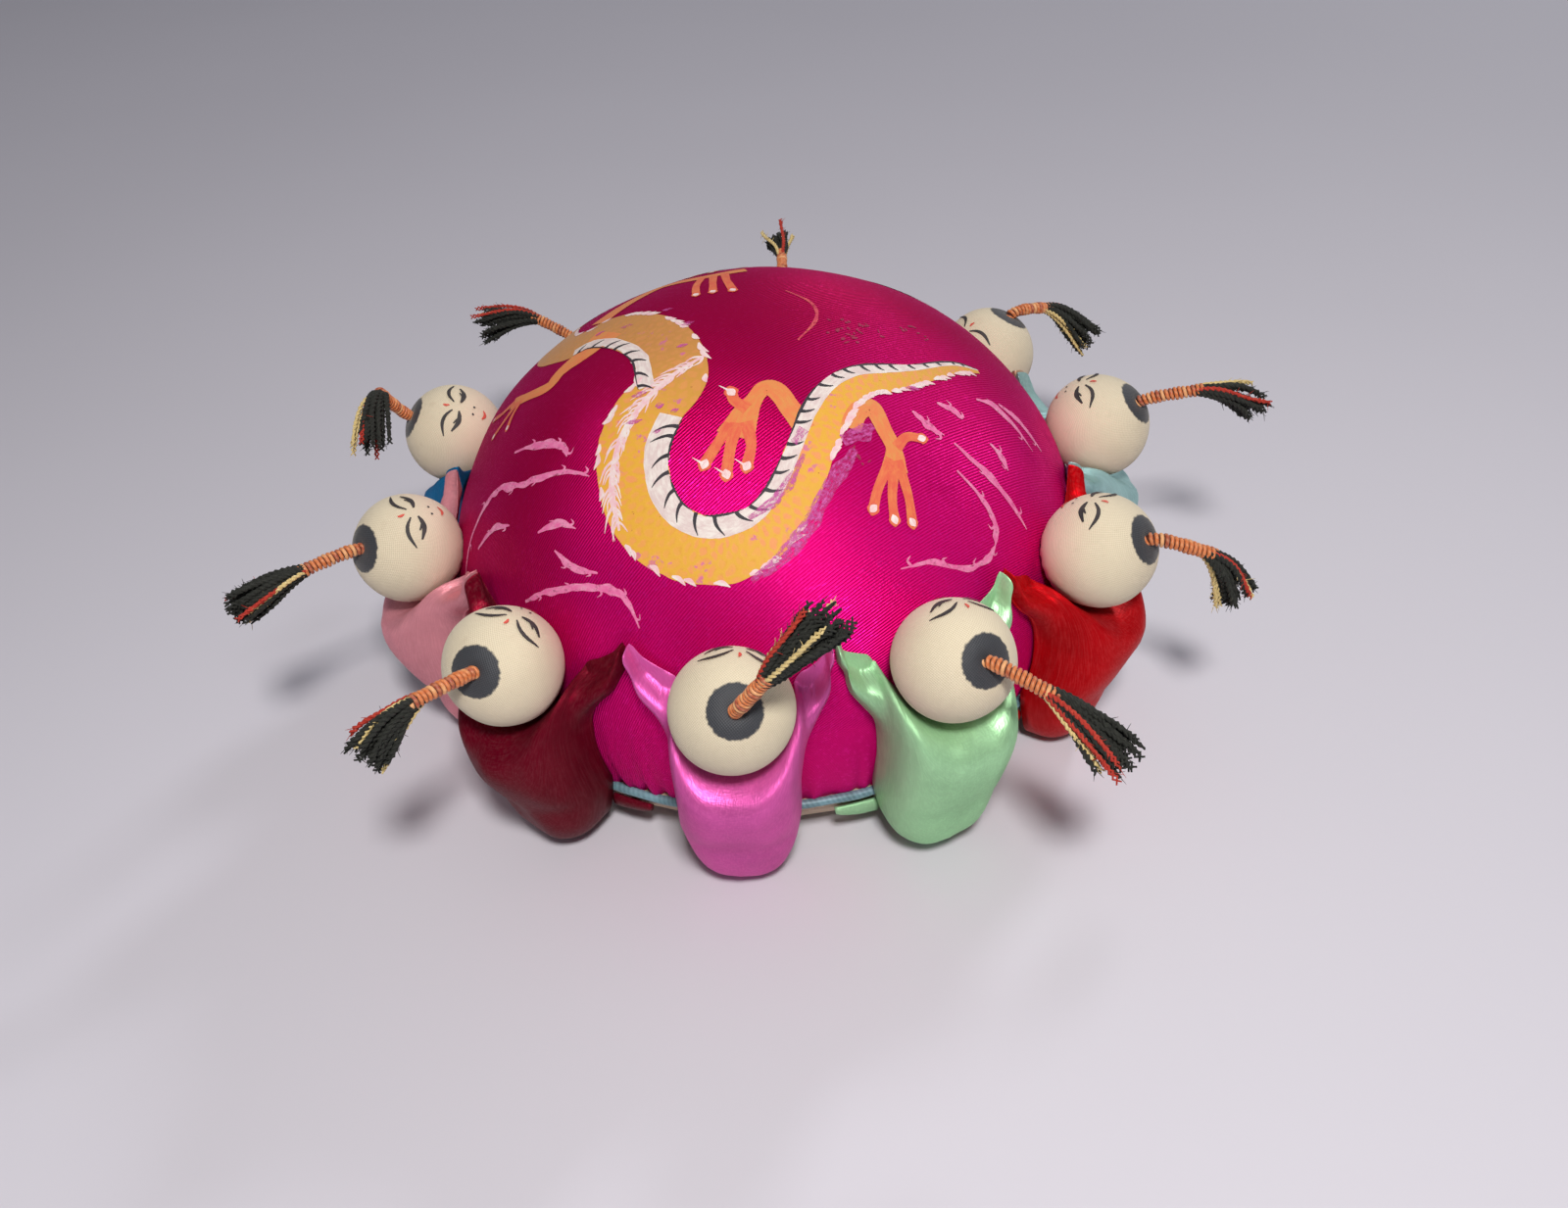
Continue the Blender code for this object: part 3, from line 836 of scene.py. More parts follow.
def build_cord(settings):
    """The satin cord sewn round the seam, lying a little unevenly."""
    turns = 720
    seam = dome_radius_at(mm(settings.seam))
    azimuth = np.arange(turns) / turns * math.tau
    sway = np.sin(azimuth * 7 + 1) * 0.10 + np.sin(azimuth * 19) * 0.08 + np.sin(azimuth * 41 + 2) * 0.05
    radius = seam + mm(settings.cord_radius) + 0.18 + sway * 0.4
    height = mm(settings.seam) + sway
    thick = mm(settings.cord_radius) * (1 + 0.05 * np.sin(azimuth * 33 + 1))
    sides = 16
    around = np.arange(sides) / sides * math.tau
    grid, places = [], []
    for a, r, h, t in zip(azimuth, radius, height, thick):
        reach = r + t * np.cos(around)
        grid.append(np.stack([reach * math.sin(a), -reach * math.cos(a), h + t * np.sin(around)], -1))
        places.append([(c * t, a * r) for c in np.append(around, math.tau)])
    grid.append(grid[0])
    places.append([(p[0], math.tau * radius[0]) for p in places[0]])
    cord = outward(Shape().patch(grid, places, wrap=True).piece("seam_cord_satin", cord_satin(settings),
                                                                "seam_cord"))
    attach(cord, CUSHION)
    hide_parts("seam_cord")
    return cord


# ---------------------------------------------------------------- paint

class Paint(Shape):
    """Brush strokes that lie on the satin."""

    def __init__(self, lift, seed=1):
        super().__init__()
        self.lift = lift
        self.pick = random.Random(seed)
        self.way = 0.0

    def stroke(self, line, widths, steps=8, columns=3, ragged=0.06, shares=(-0.5, 0.5)):
        """A stroke along a line on the dome's map. Shares say which part of the width it covers."""
        middle = smooth_line(line, steps)
        wide = np.clip(smooth_line(widths, steps)[:, 0], 0.02, None)
        ahead = headings(middle)
        across = leftward(ahead)
        travelled = distances(middle) * 0.8
        pick = np.random.default_rng(self.pick.randrange(10 ** 6))
        edges = []
        for share in shares:
            wobble = np.convolve(pick.normal(size=len(middle) + 4), (0.2, 0.3, 0.3, 0.2, 0.1), "valid")
            edges.append(share * wide * (1 + ragged * wobble))
        grid, places = [], []
        for t in np.linspace(0, 1, columns):
            offset = edges[0] * (1 - t) + edges[1] * t
            spot = middle + across * offset[:, None]
            grid.append(on_map(spot[:, 0], spot[:, 1], self.lift))
            places.append(np.stack([offset * 0.8, travelled + self.way], -1))
        self.patch(np.stack(grid, 1), np.stack(places, 1))
        self.way += 0.0 if columns > 6 else travelled[-1] + 3.0
        return self

    def dab(self, spot, wide, long, heading=0.0):
        """A rounded dab of paint."""
        turn = math.radians(heading)
        along = np.array((math.cos(turn), math.sin(turn)))
        shares = np.sin(np.linspace(0.12, math.pi - 0.12, 7))
        line = [np.array(spot) + along * long * t for t in np.linspace(-0.5, 0.5, 7)]
        return self.stroke(line, wide * shares, steps=3, columns=4)


def paint_piece(paint, name, material):
    """Makes the painted piece ride on the cushion."""
    made = paint.piece(name, material, "dome_cover")
    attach(made, CUSHION)
    return made


def body_section(start, end=None):
    """Part of the body's line and its widths."""
    return BODY_LINE[start:end], BODY_WIDTHS[start:end]


def build_dragon_body(settings):
    """The long body and its white belly with inked plates; the worn edge is painted with the mane."""
    lift = mm(settings.lift)
    body = Paint(lift).stroke(BODY_LINE, BODY_WIDTHS, steps=16, columns=18, ragged=0.02)
    paint_piece(body, "dragon_body", body_paint(settings))

    white = brush_paint("belly_white", settings.white, (0.66, 0.52, 0.50), 0.68, 0.08)
    belly = Paint(lift * 1.5, 4)
    line, widths = body_section(BELLY_START)
    belly.stroke(line, widths, steps=16, columns=8, ragged=0.03, shares=(0.50, 0.17))
    line, widths = body_section(THROAT[0], THROAT[1])
    belly.stroke(line, widths, steps=16, columns=8, ragged=0.05, shares=(-0.50, -0.26))
    paint_piece(belly, "dragon_belly", white)

    ink = Paint(lift * 2.0, 5)
    for start, end, side, deep in ((BELLY_START, None, 0.5, 0.31), (THROAT[0], THROAT[1], -0.5, 0.22)):
        line, widths = body_section(start, end)
        middle, wide = smooth_line(line, 12), smooth_line(widths, 12)[:, 0]
        ahead = headings(middle)
        across = leftward(ahead)
        edge = middle + across * (wide * side)[:, None]
        for first in range(0, len(edge) - 14, 30):
            run = edge[first:first + 26:3]
            ink.stroke(run, np.sin(np.linspace(0.25, math.pi - 0.2, len(run))) * 0.42, steps=3, ragged=0.3)
        travelled = distances(edge)
        spacing = 3.2
        for place in np.arange(1.0, travelled[-1] - 1.0, spacing):
            at = int(np.searchsorted(travelled, place + ink.pick.uniform(-0.5, 0.5)))
            at = min(max(at, 1), len(middle) - 2)
            if wide[at] < 2.0:
                continue
            reach = wide[at] * deep * ink.pick.uniform(0.72, 1.0)
            base = edge[at]
            inward = -across[at] * math.copysign(1.0, side)
            points = [base + inward * reach * t + ahead[at] * (1.9 * t * t) * (wide[at] / 12) for t in
                      (0.0, 0.35, 0.7, 1.0)]
            ink.stroke(points, (0.78, 0.62, 0.42, 0.12), steps=5, ragged=0.12)
    black = brush_paint("ink_black", settings.ink, (0.04, 0.03, 0.04), 0.7, 0.06)
    paint_piece(ink, "dragon_ink_lines", black)


def build_dragon_mane(settings):
    """White feathered strokes down the back, and tufts along the outer edge."""
    lift = mm(settings.lift)
    mane = Paint(lift * 1.8, 7)
    line = smooth_line(MANE_LINE, 10)
    mane.stroke(MANE_LINE, (0.5, 1.1, 1.4, 1.3, 0.5), steps=8, ragged=0.35)
    ahead = headings(line)
    for at in range(1, len(line) - 2, 1):
        for side in (-1, 1):
            if mane.pick.random() < 0.25:
                continue
            out = np.array((-ahead[at][1], ahead[at][0])) * side
            long = mane.pick.uniform(2.6, 5.2) * (1.0 if side < 0 else 0.75)
            tip = line[at] + ahead[at] * long * 0.9 + out * long * mane.pick.uniform(0.25, 0.55)
            bend = line[at] + ahead[at] * long * 0.35 + out * long * 0.3
            mane.stroke((line[at], bend, tip), (0.5, 0.42, 0.1), steps=4, ragged=0.3)
    middle, wide = smooth_line(BODY_LINE, 8), smooth_line(BODY_WIDTHS, 8)[:, 0]
    ahead = headings(middle)
    for at in range(24, len(middle) - 4):
        right = np.array((ahead[at][1], -ahead[at][0]))
        on_tail = at > 8 * 23
        if mane.pick.random() < (0.35 if on_tail else 0.62):
            continue
        side = 1 if at > 8 * 11 else -1
        base = middle[at] + right * side * wide[at] * 0.47
        long = mane.pick.uniform(1.2, 2.6) * (1.0 if not on_tail else 0.8)
        tip = base + ahead[at] * long * 1.1 + right * side * long * 0.35
        mane.stroke((base - ahead[at] * 0.6, base + ahead[at] * long * 0.4, tip), (0.35, 1.0, 0.15), steps=4,
                    ragged=0.25)
    white = brush_paint("mane_white", settings.white, (0.80, 0.45, 0.50), 0.60, 0.1)
    paint_piece(mane, "dragon_mane", white)

    worn = Paint(lift * 2.2, 9)
    worn.stroke(WORN_EDGE, (1.0, 2.6, 2.9, 2.5, 1.2), steps=10, columns=6, ragged=0.25)
    for line, widths in WORN_PATCHES:
        worn.stroke(line, widths, steps=8, columns=4, ragged=0.4)
    for spot, wide, long in WORN_SPOTS:
        worn.dab(spot, wide, long, worn.pick.uniform(-15, 15))
    paint_piece(worn, "dragon_worn_paint", brush_paint("worn_violet", settings.worn, (0.60, 0.08, 0.36), 0.36,
                                                       0.26, 1.1))


def build_dragon_legs(settings):
    """Orange legs with round toes, and white talons."""
    lift = mm(settings.lift)
    flesh, toes, talons = Paint(lift * 1.3, 11), Paint(lift * 1.6, 12), Paint(lift * 2.1, 13)
    for line, widths, claws in LEGS:
        flesh.stroke(line, widths, steps=10, columns=6, ragged=0.04)
        toe = min(2.3, 0.3 * widths[-1] + 0.65)
        for claw in claws:
            toes.stroke(claw, (toe, toe * 0.8, toe * 0.9), steps=8, columns=5, ragged=0.06)
            tip, before = np.array(claw[-1]), np.array(claw[-2])
            heading = unit(tip - before)
            turn = math.degrees(math.atan2(heading[1], heading[0]))
            toes.dab(tip, toe * 1.04, toe * 1.13, turn)
            talons.dab(tip - heading * 0.1, toe * 0.65, toe * 0.83, turn + talons.pick.uniform(-30, 30))
            hair = np.array((-1.9, 1.7)) * (1 if tip[0] < 5 else 0)
            if hair.any() and len(claws) > 3:
                talons.stroke((tip, tip + hair * 0.5, tip + hair), (0.6, 0.3, 0.1), steps=4)
    paint_piece(flesh, "dragon_legs", brush_paint("leg_orange", settings.orange, settings.limb, 0.70, 0.06))
    paint_piece(toes, "dragon_toes", brush_paint("toe_orange", settings.limb, (0.70, 0.10, 0.05), 0.66, 0.08))
    white = brush_paint("talon_white", (0.86, 0.80, 0.76), (0.80, 0.5, 0.5), 0.72, 0.05)
    paint_piece(talons, "dragon_talons", white)


def build_dragon_head(settings):
    """A plain head on the far side: snout, jaw, horns, whiskers and an eye."""
    lift = mm(settings.lift)
    face = Paint(lift * 1.4, 15)
    face.stroke(((20, 42), (26, 37), (32, 31), (36, 27)), (9, 10, 7, 4.5), steps=10, columns=8, ragged=0.04)
    face.stroke(((22, 36), (27, 31), (31, 26)), (4, 3.6, 2), steps=8, columns=5, ragged=0.05)
    face.stroke(((20, 46), (13, 51), (8, 58)), (1.9, 1.6, 0.4), steps=8, columns=4)
    face.stroke(((24, 45), (20, 52), (18, 59)), (1.9, 1.5, 0.4), steps=8, columns=4)
    paint_piece(face, "dragon_head", brush_paint("head_orange", settings.orange, settings.yellow, 0.7, 0.06))
    marks = Paint(lift * 2.0, 16)
    marks.stroke(((36, 28), (41, 27), (45, 31), (49, 29)), (0.6, 0.5, 0.4, 0.15), steps=8)
    marks.stroke(((33, 33), (37, 37), (42, 38), (45, 42)), (0.6, 0.5, 0.4, 0.15), steps=8)
    marks.dab((27.5, 38.6), 2.0, 2.4, 45)
    for shift in range(5):
        marks.dab((28.6 + shift * 1.25, 30.9 - shift * 1.2), 0.8, 1.4, 135)
    white = brush_paint("whisker_white", settings.white, (0.8, 0.5, 0.5), 0.7, 0.06)
    paint_piece(marks, "dragon_whiskers", white)
    dots = Paint(lift * 2.6, 17)
    dots.dab((27.6, 38.4), 0.9, 1.0, 45)
    dots.stroke(((23.5, 41), (26, 41.5), (29, 39.5)), (0.3, 0.6, 0.2), steps=6)
    dots.dab((34.2, 30.4), 0.6, 0.8, 45)
    paint_piece(dots, "dragon_eye", brush_paint("eye_ink", settings.ink, (0.03, 0.03, 0.03), 0.75, 0.05))


def build_clouds(settings):
    """Thin pink wisps: a curved stroke with small curls along it."""
    clouds = Paint(mm(settings.lift), 21)
    far = [tuple((-x * 0.9, -y * 0.95) for x, y in line) for line in CLOUD_LINES[8:12] + CLOUD_LINES[5:6]]
    for line in CLOUD_LINES + tuple(far):
        points = smooth_line(line, 6)
        widths = 1.35 * np.sin(np.linspace(0.2, math.pi - 0.1, len(points))) + 0.12
        clouds.stroke(points[::2], widths[::2], steps=4, columns=4, ragged=0.45)
        for at in range(4, len(points) - 2, 6):
            heading = unit(points[at + 1] - points[at - 1])
            out = np.array((-heading[1], heading[0])) * clouds.pick.choice((-1, 1))
            long = clouds.pick.uniform(0.9, 1.9)
            middle = points[at] + out * long * 0.6 + heading * 0.5
            tip = points[at] + out * long - heading * 0.4
            clouds.stroke((points[at], middle, tip), (0.6, 0.45, 0.1), steps=4, ragged=0.3)
    pink = brush_paint("cloud_pink", settings.cloud, (0.74, 0.12, 0.33), 0.50, 0.20, 1.0)
    paint_piece(clouds, "cloud_wisps", pink)
    arc = Paint(mm(settings.lift), 23)
    arc.stroke(((7.5, 5.8), (11.6, 1.4), (12.2, -4.2), (8.7, -11)), (0.3, 0.6, 0.6, 0.3), steps=8, ragged=0.4)
    orange = brush_paint("faint_orange", (0.68, 0.10, 0.09), (0.55, 0.02, 0.08), 0.50, 0.12, 1.2)
    paint_piece(arc, "faint_arc", orange)
    pins = Paint(mm(settings.lift) * 1.2, 24)
    for middle, spread, count in PIN_CLUSTERS:
        for _ in range(count):
            spot = (pins.pick.gauss(middle[0], spread / 2), pins.pick.gauss(middle[1], spread / 2.6))
            wide, long, heading = (pins.pick.uniform(*span) for span in ((0.25, 0.7), (0.4, 1.3), (0, 180)))
            pins.dab(spot, wide, long, heading)
    brown = brush_paint("pin_brown", (0.24, 0.01, 0.04), (0.36, 0.01, 0.07), 0.50, 0.16, 1.4)
    paint_piece(pins, "pin_wear", brown)


# ---------------------------------------------------------------- children

# A robe from its middle out to the shoulder: degrees, hem height, top height above the chin, thickness,
# share of the height that is stuffed, and how square the stuffed part is.
ROBE_BODY = (
    (0.0, 0.4, -0.6, 12.6, 1.0, 4.4), (3.3, 0.7, -0.2, 12.4, 1.0, 4.2), (5.8, 1.9, 1.3, 11.6, 1.0, 3.8),
    (7.4, 4.2, 3.2, 10.4, 1.0, 3.4), (8.2, 8.0, 4.5, 9.2, 1.0, 3.0), (8.8, 13.0, 5.6, 8.0, 1.0, 2.7),
    (9.3, 18.4, 6.3, 6.8, 0.95, 2.5), (10.1, 23.4, 6.9, 5.4, 0.8, 2.3))
WEB = 0.9                       # thickness of the cloth above the stuffed roll of an arm
ROBE_FRONT = 30                 # points up the front of each section, then down its back
ROBE_BACK = 14
ROBE_DEGREE = 0.86              # millimetres of cloth to a degree round the dome
CREASE = (11.4, 22.5, 0.5)      # degrees, height and depth of the crease under each arm
CREASE_SIZE = (1.3, 2.6)        # how wide it is in degrees, and how high
USUAL_FULLNESS = 0.55
CHEST_FULLNESS = 1.06
HEM_FULLNESS = {1: 0.48, 2: 0.64, 10: 0.62}     # share of the thickness at the hem, where not the usual one
HEM_LIFT = {2: 0.9, 10: 0.9}                    # how far a child's hem stands higher than the others'
BELLY_RADIUS = 49.0             # where the angles of ROBE_BODY give the robe's width


def robe_outline(child, side):
    """The robe's sections from its middle to a hand, as in ROBE_BODY, with heights above the table."""
    chin = child.centre[2] - mm(bpy.context.scene.pincushion_children.head)
    reach = child.reach(side)
    lift = HEM_LIFT.get(child.number, 0.0)
    rows = [(angle, low + lift, chin + high, *rest) for angle, low, high, *rest in ROBE_BODY]
    rows.append((12.0, 27.2, max(33.2, chin + 7.6), 4.4, 0.68, 2.1))
    rows.append(((12.3 + reach) / 2, 29.8, 34.9, 3.8, 0.70, 2.0))
    rows.append((reach - 1.2, 32.0, 36.3, 3.0, 0.85, 2.0))
    rows.append((reach - 0.5, 33.2, 36.7, 2.5, 1.0, 2.0))
    rows.append((reach - 0.25, 34.0, 36.3, 1.4, 1.0, 2.0))
    return rows


def underside_radius(height):
    """Radius of the underside's curve below the seam."""
    seam = mm(bpy.context.scene.pincushion_dome.seam)
    low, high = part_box("base_board")
    flat = (high.x - low.x) / 2 / MM + 1.0
    share = 1.0 - min(max(height, 0.0), seam) / seam
    return flat + (dome_radius_at(seam) - flat) * math.sqrt(max(0.0, 1.0 - share * share))


def robe_back(height):
    """Radius of the robe's back: against the dome, and clear of the cord."""
    s = bpy.context.scene.pincushion_dome
    cord = dome_radius_at(mm(s.seam)) + 2 * mm(s.cord_radius) + 0.45
    return max(dome_radius_at(max(height, mm(s.seam))) + mm(s.swell) + 0.1, cord)


def robe_point(child, angle, radius, height):
    """Point at degrees from the child's middle; the hem may lean to one side."""
    lean = HEM_LEAN.get(child.number, 0.0) * max(0.0, 1.0 - height / 30.0)
    fuller = 1.0 + 0.10 * math.exp(-((height - 11.0) / 6.0) ** 2)
    outward_share = max(0.0, 1.0 - abs(angle) / 13.0)
    narrower = 1.0 + (BELLY_RADIUS / max(radius, BELLY_RADIUS) - 1.0) * outward_share
    azimuth = math.radians(child.azimuth + angle * fuller * narrower + lean)
    return np.array((radius * math.sin(azimuth), -radius * math.cos(azimuth), height))


def robe_bulge(share, thick, stuffed, square, hem):
    """How far the robe stands off its back at a share of its height: a stuffed roll, then thin cloth."""
    web = WEB * min(1.0, (1.0 - stuffed) / 0.25) * math.sqrt(max(0.0, 1.0 - share))
    roll = 0.0
    if share < stuffed:
        roll = (1.0 - abs(2.0 * share / stuffed - 1.0) ** square) ** (1.0 / square)
    return max(web, thick * roll * min(1.0, hem + (CHEST_FULLNESS - hem) * share))


def build_robe(child, settings):
    """A stuffed satin robe: rounded hem, arms that rise to the neighbours' hands, cloth folded behind."""
    left = smooth_line(robe_outline(child, -1)[::-1], 9)
    right = smooth_line(robe_outline(child, 1), 9)
    left[:, 0] *= -1
    stations = np.concatenate([left, right[1:]])
    folds = waves(40 + child.number, 12, 3.5, 11.0)
    room = mm(settings.head) + 0.15
    hem = HEM_FULLNESS.get(child.number, USUAL_FULLNESS)
    grid, places = [], []
    for angle, low, high, thick, stuffed, square in stations:
        ring, way = [], 0.0
        for index in range(ROBE_FRONT + ROBE_BACK):
            if index < ROBE_FRONT:
                sweep = math.pi * index / (ROBE_FRONT - 1)
                share = (1 - math.cos(sweep)) / 2
                bulge = robe_bulge(share, thick, stuffed, square, hem)
            else:
                share = 1.0 - (index - ROBE_FRONT + 1) / (ROBE_BACK + 1)
                bulge = 0.0
            height = low + (high - low) * share
            point = robe_point(child, angle, robe_back(height) + max(bulge, 0.02), height)
            if index < ROBE_FRONT:
                aside = (abs(angle) - CREASE[0]) / CREASE_SIZE[0]
                above = (height - CREASE[1]) / CREASE_SIZE[1]
                crease = CREASE[2] * math.exp(-aside ** 2 - above ** 2)
                uneven = 0.17 * ripple(point * (1.0, 1.0, 0.6), folds) * min(1.0, bulge / 2.0)
                point[:2] *= 1 + (uneven - crease) / 48.0
            apart = point - child.centre
            gap = np.linalg.norm(apart)
            if gap < room:
                point = child.centre + apart / gap * room
            ring.append(point)
        grid.append(ring)
        places.append([(angle * ROBE_DEGREE, way) for way in distances(ring + ring[:1])])
    robe = Shape().patch(grid, places, wrap=True, caps=True)
    for side in (-1, 1) if child.number in TUCKED else ():
        tuck_rows, tuck_places = [], []
        for share in np.linspace(0, 1, 12):
            angle = side * (7.6 + 7.4 * share)
            low = 1.0 + 4.6 * share ** 1.3
            ring = []
            for index in range(16):
                turn = math.tau * index / 16
                height = (low + 7.2) / 2 - (7.2 - low) / 2 * math.cos(turn)
                out = 1.2 + 0.9 * math.sin(turn) * (1.0 - 0.45 * share)
                ring.append(robe_point(child, angle, underside_radius(height) + out, height))
            tuck_rows.append(ring)
            tuck_places.append([(angle * 0.8, 60 + 12 * k / 16) for k in range(17)])
        robe.patch(tuck_rows, tuck_places, wrap=True, caps=True)
    name = f"{child.name}_robe"
    made = robe.piece(f"{name}_satin", robe_satin(f"{name}_satin", ROBE_COLOURS[child.number]), name)
    outward(made)
    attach(made, CUSHION)
    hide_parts(name, f"{name}_wadding")
    return made


def build_head(child, settings, material):
    """Muslin over a ball, dimpled where the queue is sewn in and gathered at the back."""
    radius = mm(settings.head)
    rows, turns = 72, 96
    uneven = waves(70 + child.number, 7, 6.0, 14.0)
    grid, places = [], []
    turn = np.arange(turns + 1) / turns * 360.0
    for row in range(rows):
        tilt = 0.8 + 178.4 * row / (rows - 1)
        ways = np.array([child.head_way(tilt, t) for t in turn])
        dimple = 0.42 * math.exp(-(tilt / 9.0) ** 2)
        pleat = 0.14 * np.sin(np.radians(turn) * 17) * max(0.0, (tilt - 120.0) / 60.0)
        size = radius - dimple + pleat + 0.05 * ripple(ways * radius, uneven)
        size = np.minimum(size, radius + 0.08)
        grid.append((child.centre + ways * size[:, None])[:-1])
        reach = radius * math.radians(tilt)
        places.append(np.stack([reach * np.sin(np.radians(turn)), reach * np.cos(np.radians(turn))], -1))
    head = Shape().patch(grid, places, wrap=True, caps=True).piece(f"{child.name}_head_muslin", material,
                                                                   f"{child.name}_head")
    outward(head)
    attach(head, CUSHION)
    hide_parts(f"{child.name}_head")
    return head


def face_stroke(shape, child, settings, marks, widths, mirror=False):
    """A fine brush stroke on a head."""
    points = [child.head_way(a, -b if mirror else b) for a, b in marks]
    line = smooth_line(points, 6)
    line /= np.linalg.norm(line, axis=1)[:, None]
    wide = smooth_line(widths, 6)[:, 0]
    ahead = np.gradient(line, axis=0)
    across = np.cross(line, ahead)
    across /= np.linalg.norm(across, axis=1)[:, None]
    radius = mm(settings.head) + 0.13
    travelled = distances(line) * radius
    grid, places = [], []
    for t in (-0.5, 0.0, 0.5):
        offset = line * radius + across * (wide * t)[:, None]
        offset *= radius / np.linalg.norm(offset, axis=1)[:, None]
        grid.append(child.centre + offset)
        places.append(np.stack([wide * t, travelled], -1))
    shape.patch(np.stack(grid, 1), np.stack(places, 1))


def build_face(child, settings, ink, red):
    """Painted brows, closed eyes, nostrils and mouth."""
    lines, reds = Shape(), Shape()
    for mirror in (False, True):
        face_stroke(lines, child, settings, BROW, (0.20, 0.46, 0.52, 0.16), mirror)
        face_stroke(lines, child, settings, EYE, (0.26, 0.62, 0.66, 0.26), mirror)
        face_stroke(lines, child, settings, EYE_TICK, (0.42, 0.18), mirror)
        face_stroke(lines, child, settings, NOSTRIL, (0.28, 0.36, 0.2), mirror)
    face_stroke(reds, child, settings, FOREHEAD_MARK, (0.22, 0.40, 0.16))
    face_stroke(reds, child, settings, MOUTH, (0.16, 0.52, 0.16))
    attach(lines.piece(f"{child.name}_face_ink", ink, f"{child.name}_head"), CUSHION)
    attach(reds.piece(f"{child.name}_face_red", red, f"{child.name}_head"), CUSHION)


def bend(start, turn, end, steps):
    """A path that leaves start towards turn and arrives at end."""
    t = np.linspace(0, 1, steps)[:, None]
    return (1 - t) ** 2 * start + 2 * t * (1 - t) * turn + t * t * end


def build_wrap(child, settings, thread, core):
    """Thread wound tightly round the queue from the head to the tassel."""
    base = child.centre + child.crown * (mm(settings.head) - 0.55)
    path = bend(base, child.root, child.wrap_end, 400)
    ahead = headings(path)
    travelled = distances(path)
    side = unit(np.cross(ahead[0], (0.2, 0.9, 0.4)))
    thick = 0.27
    wound = []
    for centre, forward, way in zip(path, ahead, travelled):
        side = unit(side - forward * side.dot(forward))
        up = np.cross(forward, side)
        turn = math.tau * way / mm(settings.thread)
        out = mm(settings.wrap) - thick + 0.05 * math.sin(way * 2.1 + child.number)
        out -= 0.10 * math.exp(-way / 1.2)
        wound.append(centre + out * (side * math.cos(turn) + up * math.sin(turn)))
    names = f"{child.name}_queue_wrap"
    wrap = Shape().tube(wound, [thick] * len(wound), sides=7, lead=child.number * 37.0)
    # The core stands for the queue's inside; its dark colour is painted shade in the gaps between the turns
    # of thread.
    stem = Shape().tube(path[::12], [mm(settings.wrap) - thick * 1.6] * len(path[::12]), sides=10)
    start = (child.centre + child.crown * (mm(settings.head) - 0.3)) * MM
    end = (child.root + child.crown * 1.4) * MM
    for shape, name, material in ((wrap, f"{names}_thread", thread), (stem, f"{names}_core", core)):
        made = outward(shape.piece(name, material, names))
        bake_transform(made)
        if shape is wrap:
            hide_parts(names)


def yarn_path(child, pick, spread, long, outer):
    """One yarn from inside the wrap to its frayed end; an outer yarn lies on the others."""
    tangent = child.tassel_way
    side = unit(np.cross(tangent, (0.31, 0.2, 0.93)))
    up = np.cross(tangent, side)
    turn = pick.uniform(0, math.tau)
    far = pick.uniform(1.0, 1.2) if outer else math.sqrt(pick.random())
    around = side * math.cos(turn) + up * math.sin(turn)
    start = child.wrap_end - child.wrap_way * 1.6 + around * 0.5 * far
    knee = child.wrap_end + child.wrap_way * 2.0 + around * 1.5 * far
    end = child.wrap_end + tangent * long + around * spread * far
    path = bend(start, knee, end, 26)
    t = np.linspace(0, 1, 26)[:, None]
    curl = side * pick.uniform(-0.5, 0.5) + up * pick.uniform(-0.5, 0.5)
    return path + curl * np.sin(t * math.pi * pick.uniform(1.2, 2.2)) * t


def add_yarn(shape, path, radius, pick, lead):
    """A two-ply yarn with fibres standing out at its end."""
    ahead = headings(path)
    side = unit(np.cross(ahead[0], (0.5, 0.1, 0.7)))
    travelled = distances(path)
    plies = ([], [])
    for index, (centre, forward, way) in enumerate(zip(path, ahead, travelled)):
        side = unit(side - forward * side.dot(forward))
        up = np.cross(forward, side)
        turn = math.tau * way / 1.5
        loose = 1.0 + 1.3 * max(0.0, index / len(path) - 0.8) / 0.2
        out = 0.5 * radius * loose * (side * math.cos(turn) + up * math.sin(turn))
        plies[0].append(centre + out)
        plies[1].append(centre - out)
    sizes = np.full(len(path), radius * 0.60)
    sizes[-4:] *= (1.0, 0.9, 0.75, 0.45)
    for ply in plies:
        shape.tube(ply, sizes, sides=6, lead=lead)
    for _ in range(12):
        base = path[-pick.randrange(2, 14)]
        heading = unit(ahead[-1] + np.array([pick.uniform(-0.9, 0.9) for _ in range(3)]))
        droop = np.array([pick.uniform(-0.3, 0.3) for _ in range(3)])
        long = pick.uniform(0.6, 1.6)
        hair = [base + heading * long * t + droop * t * t for t in (0, 0.35, 0.7, 1.0)]
        shape.tube(hair, (0.06, 0.055, 0.045, 0.02), sides=3, lead=lead)


def build_tassel(child, settings, finishes):
    """The queue's loose end: black yarns with a few cream and red ones."""
    pick = random.Random(500 + child.number)
    radius = mm(settings.yarn)
    node = f"{child.name}_queue_tassel"
    long = child.tassel_length
    counts = {"black": settings.black_yarns, "cream": 2 + child.number % 2, "red": 1 + child.number // 3 % 2}
    for tone, count in counts.items():
        shape = Shape()
        for index in range(count):
            spread = pick.uniform(1.9, 3.4) if tone == "black" else pick.uniform(2.0, 3.2)
            path = yarn_path(child, pick, spread, long * pick.uniform(0.80, 1.04), tone != "black")
            add_yarn(shape, path, radius if tone == "black" else radius * 0.8, pick, index * 13.0)
        made = outward(shape.piece(f"{child.name}_tassel_{tone}", finishes[tone], node))
        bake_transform(made)
        if tone == "black":
            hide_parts(node)


# ---------------------------------------------------------------- operators

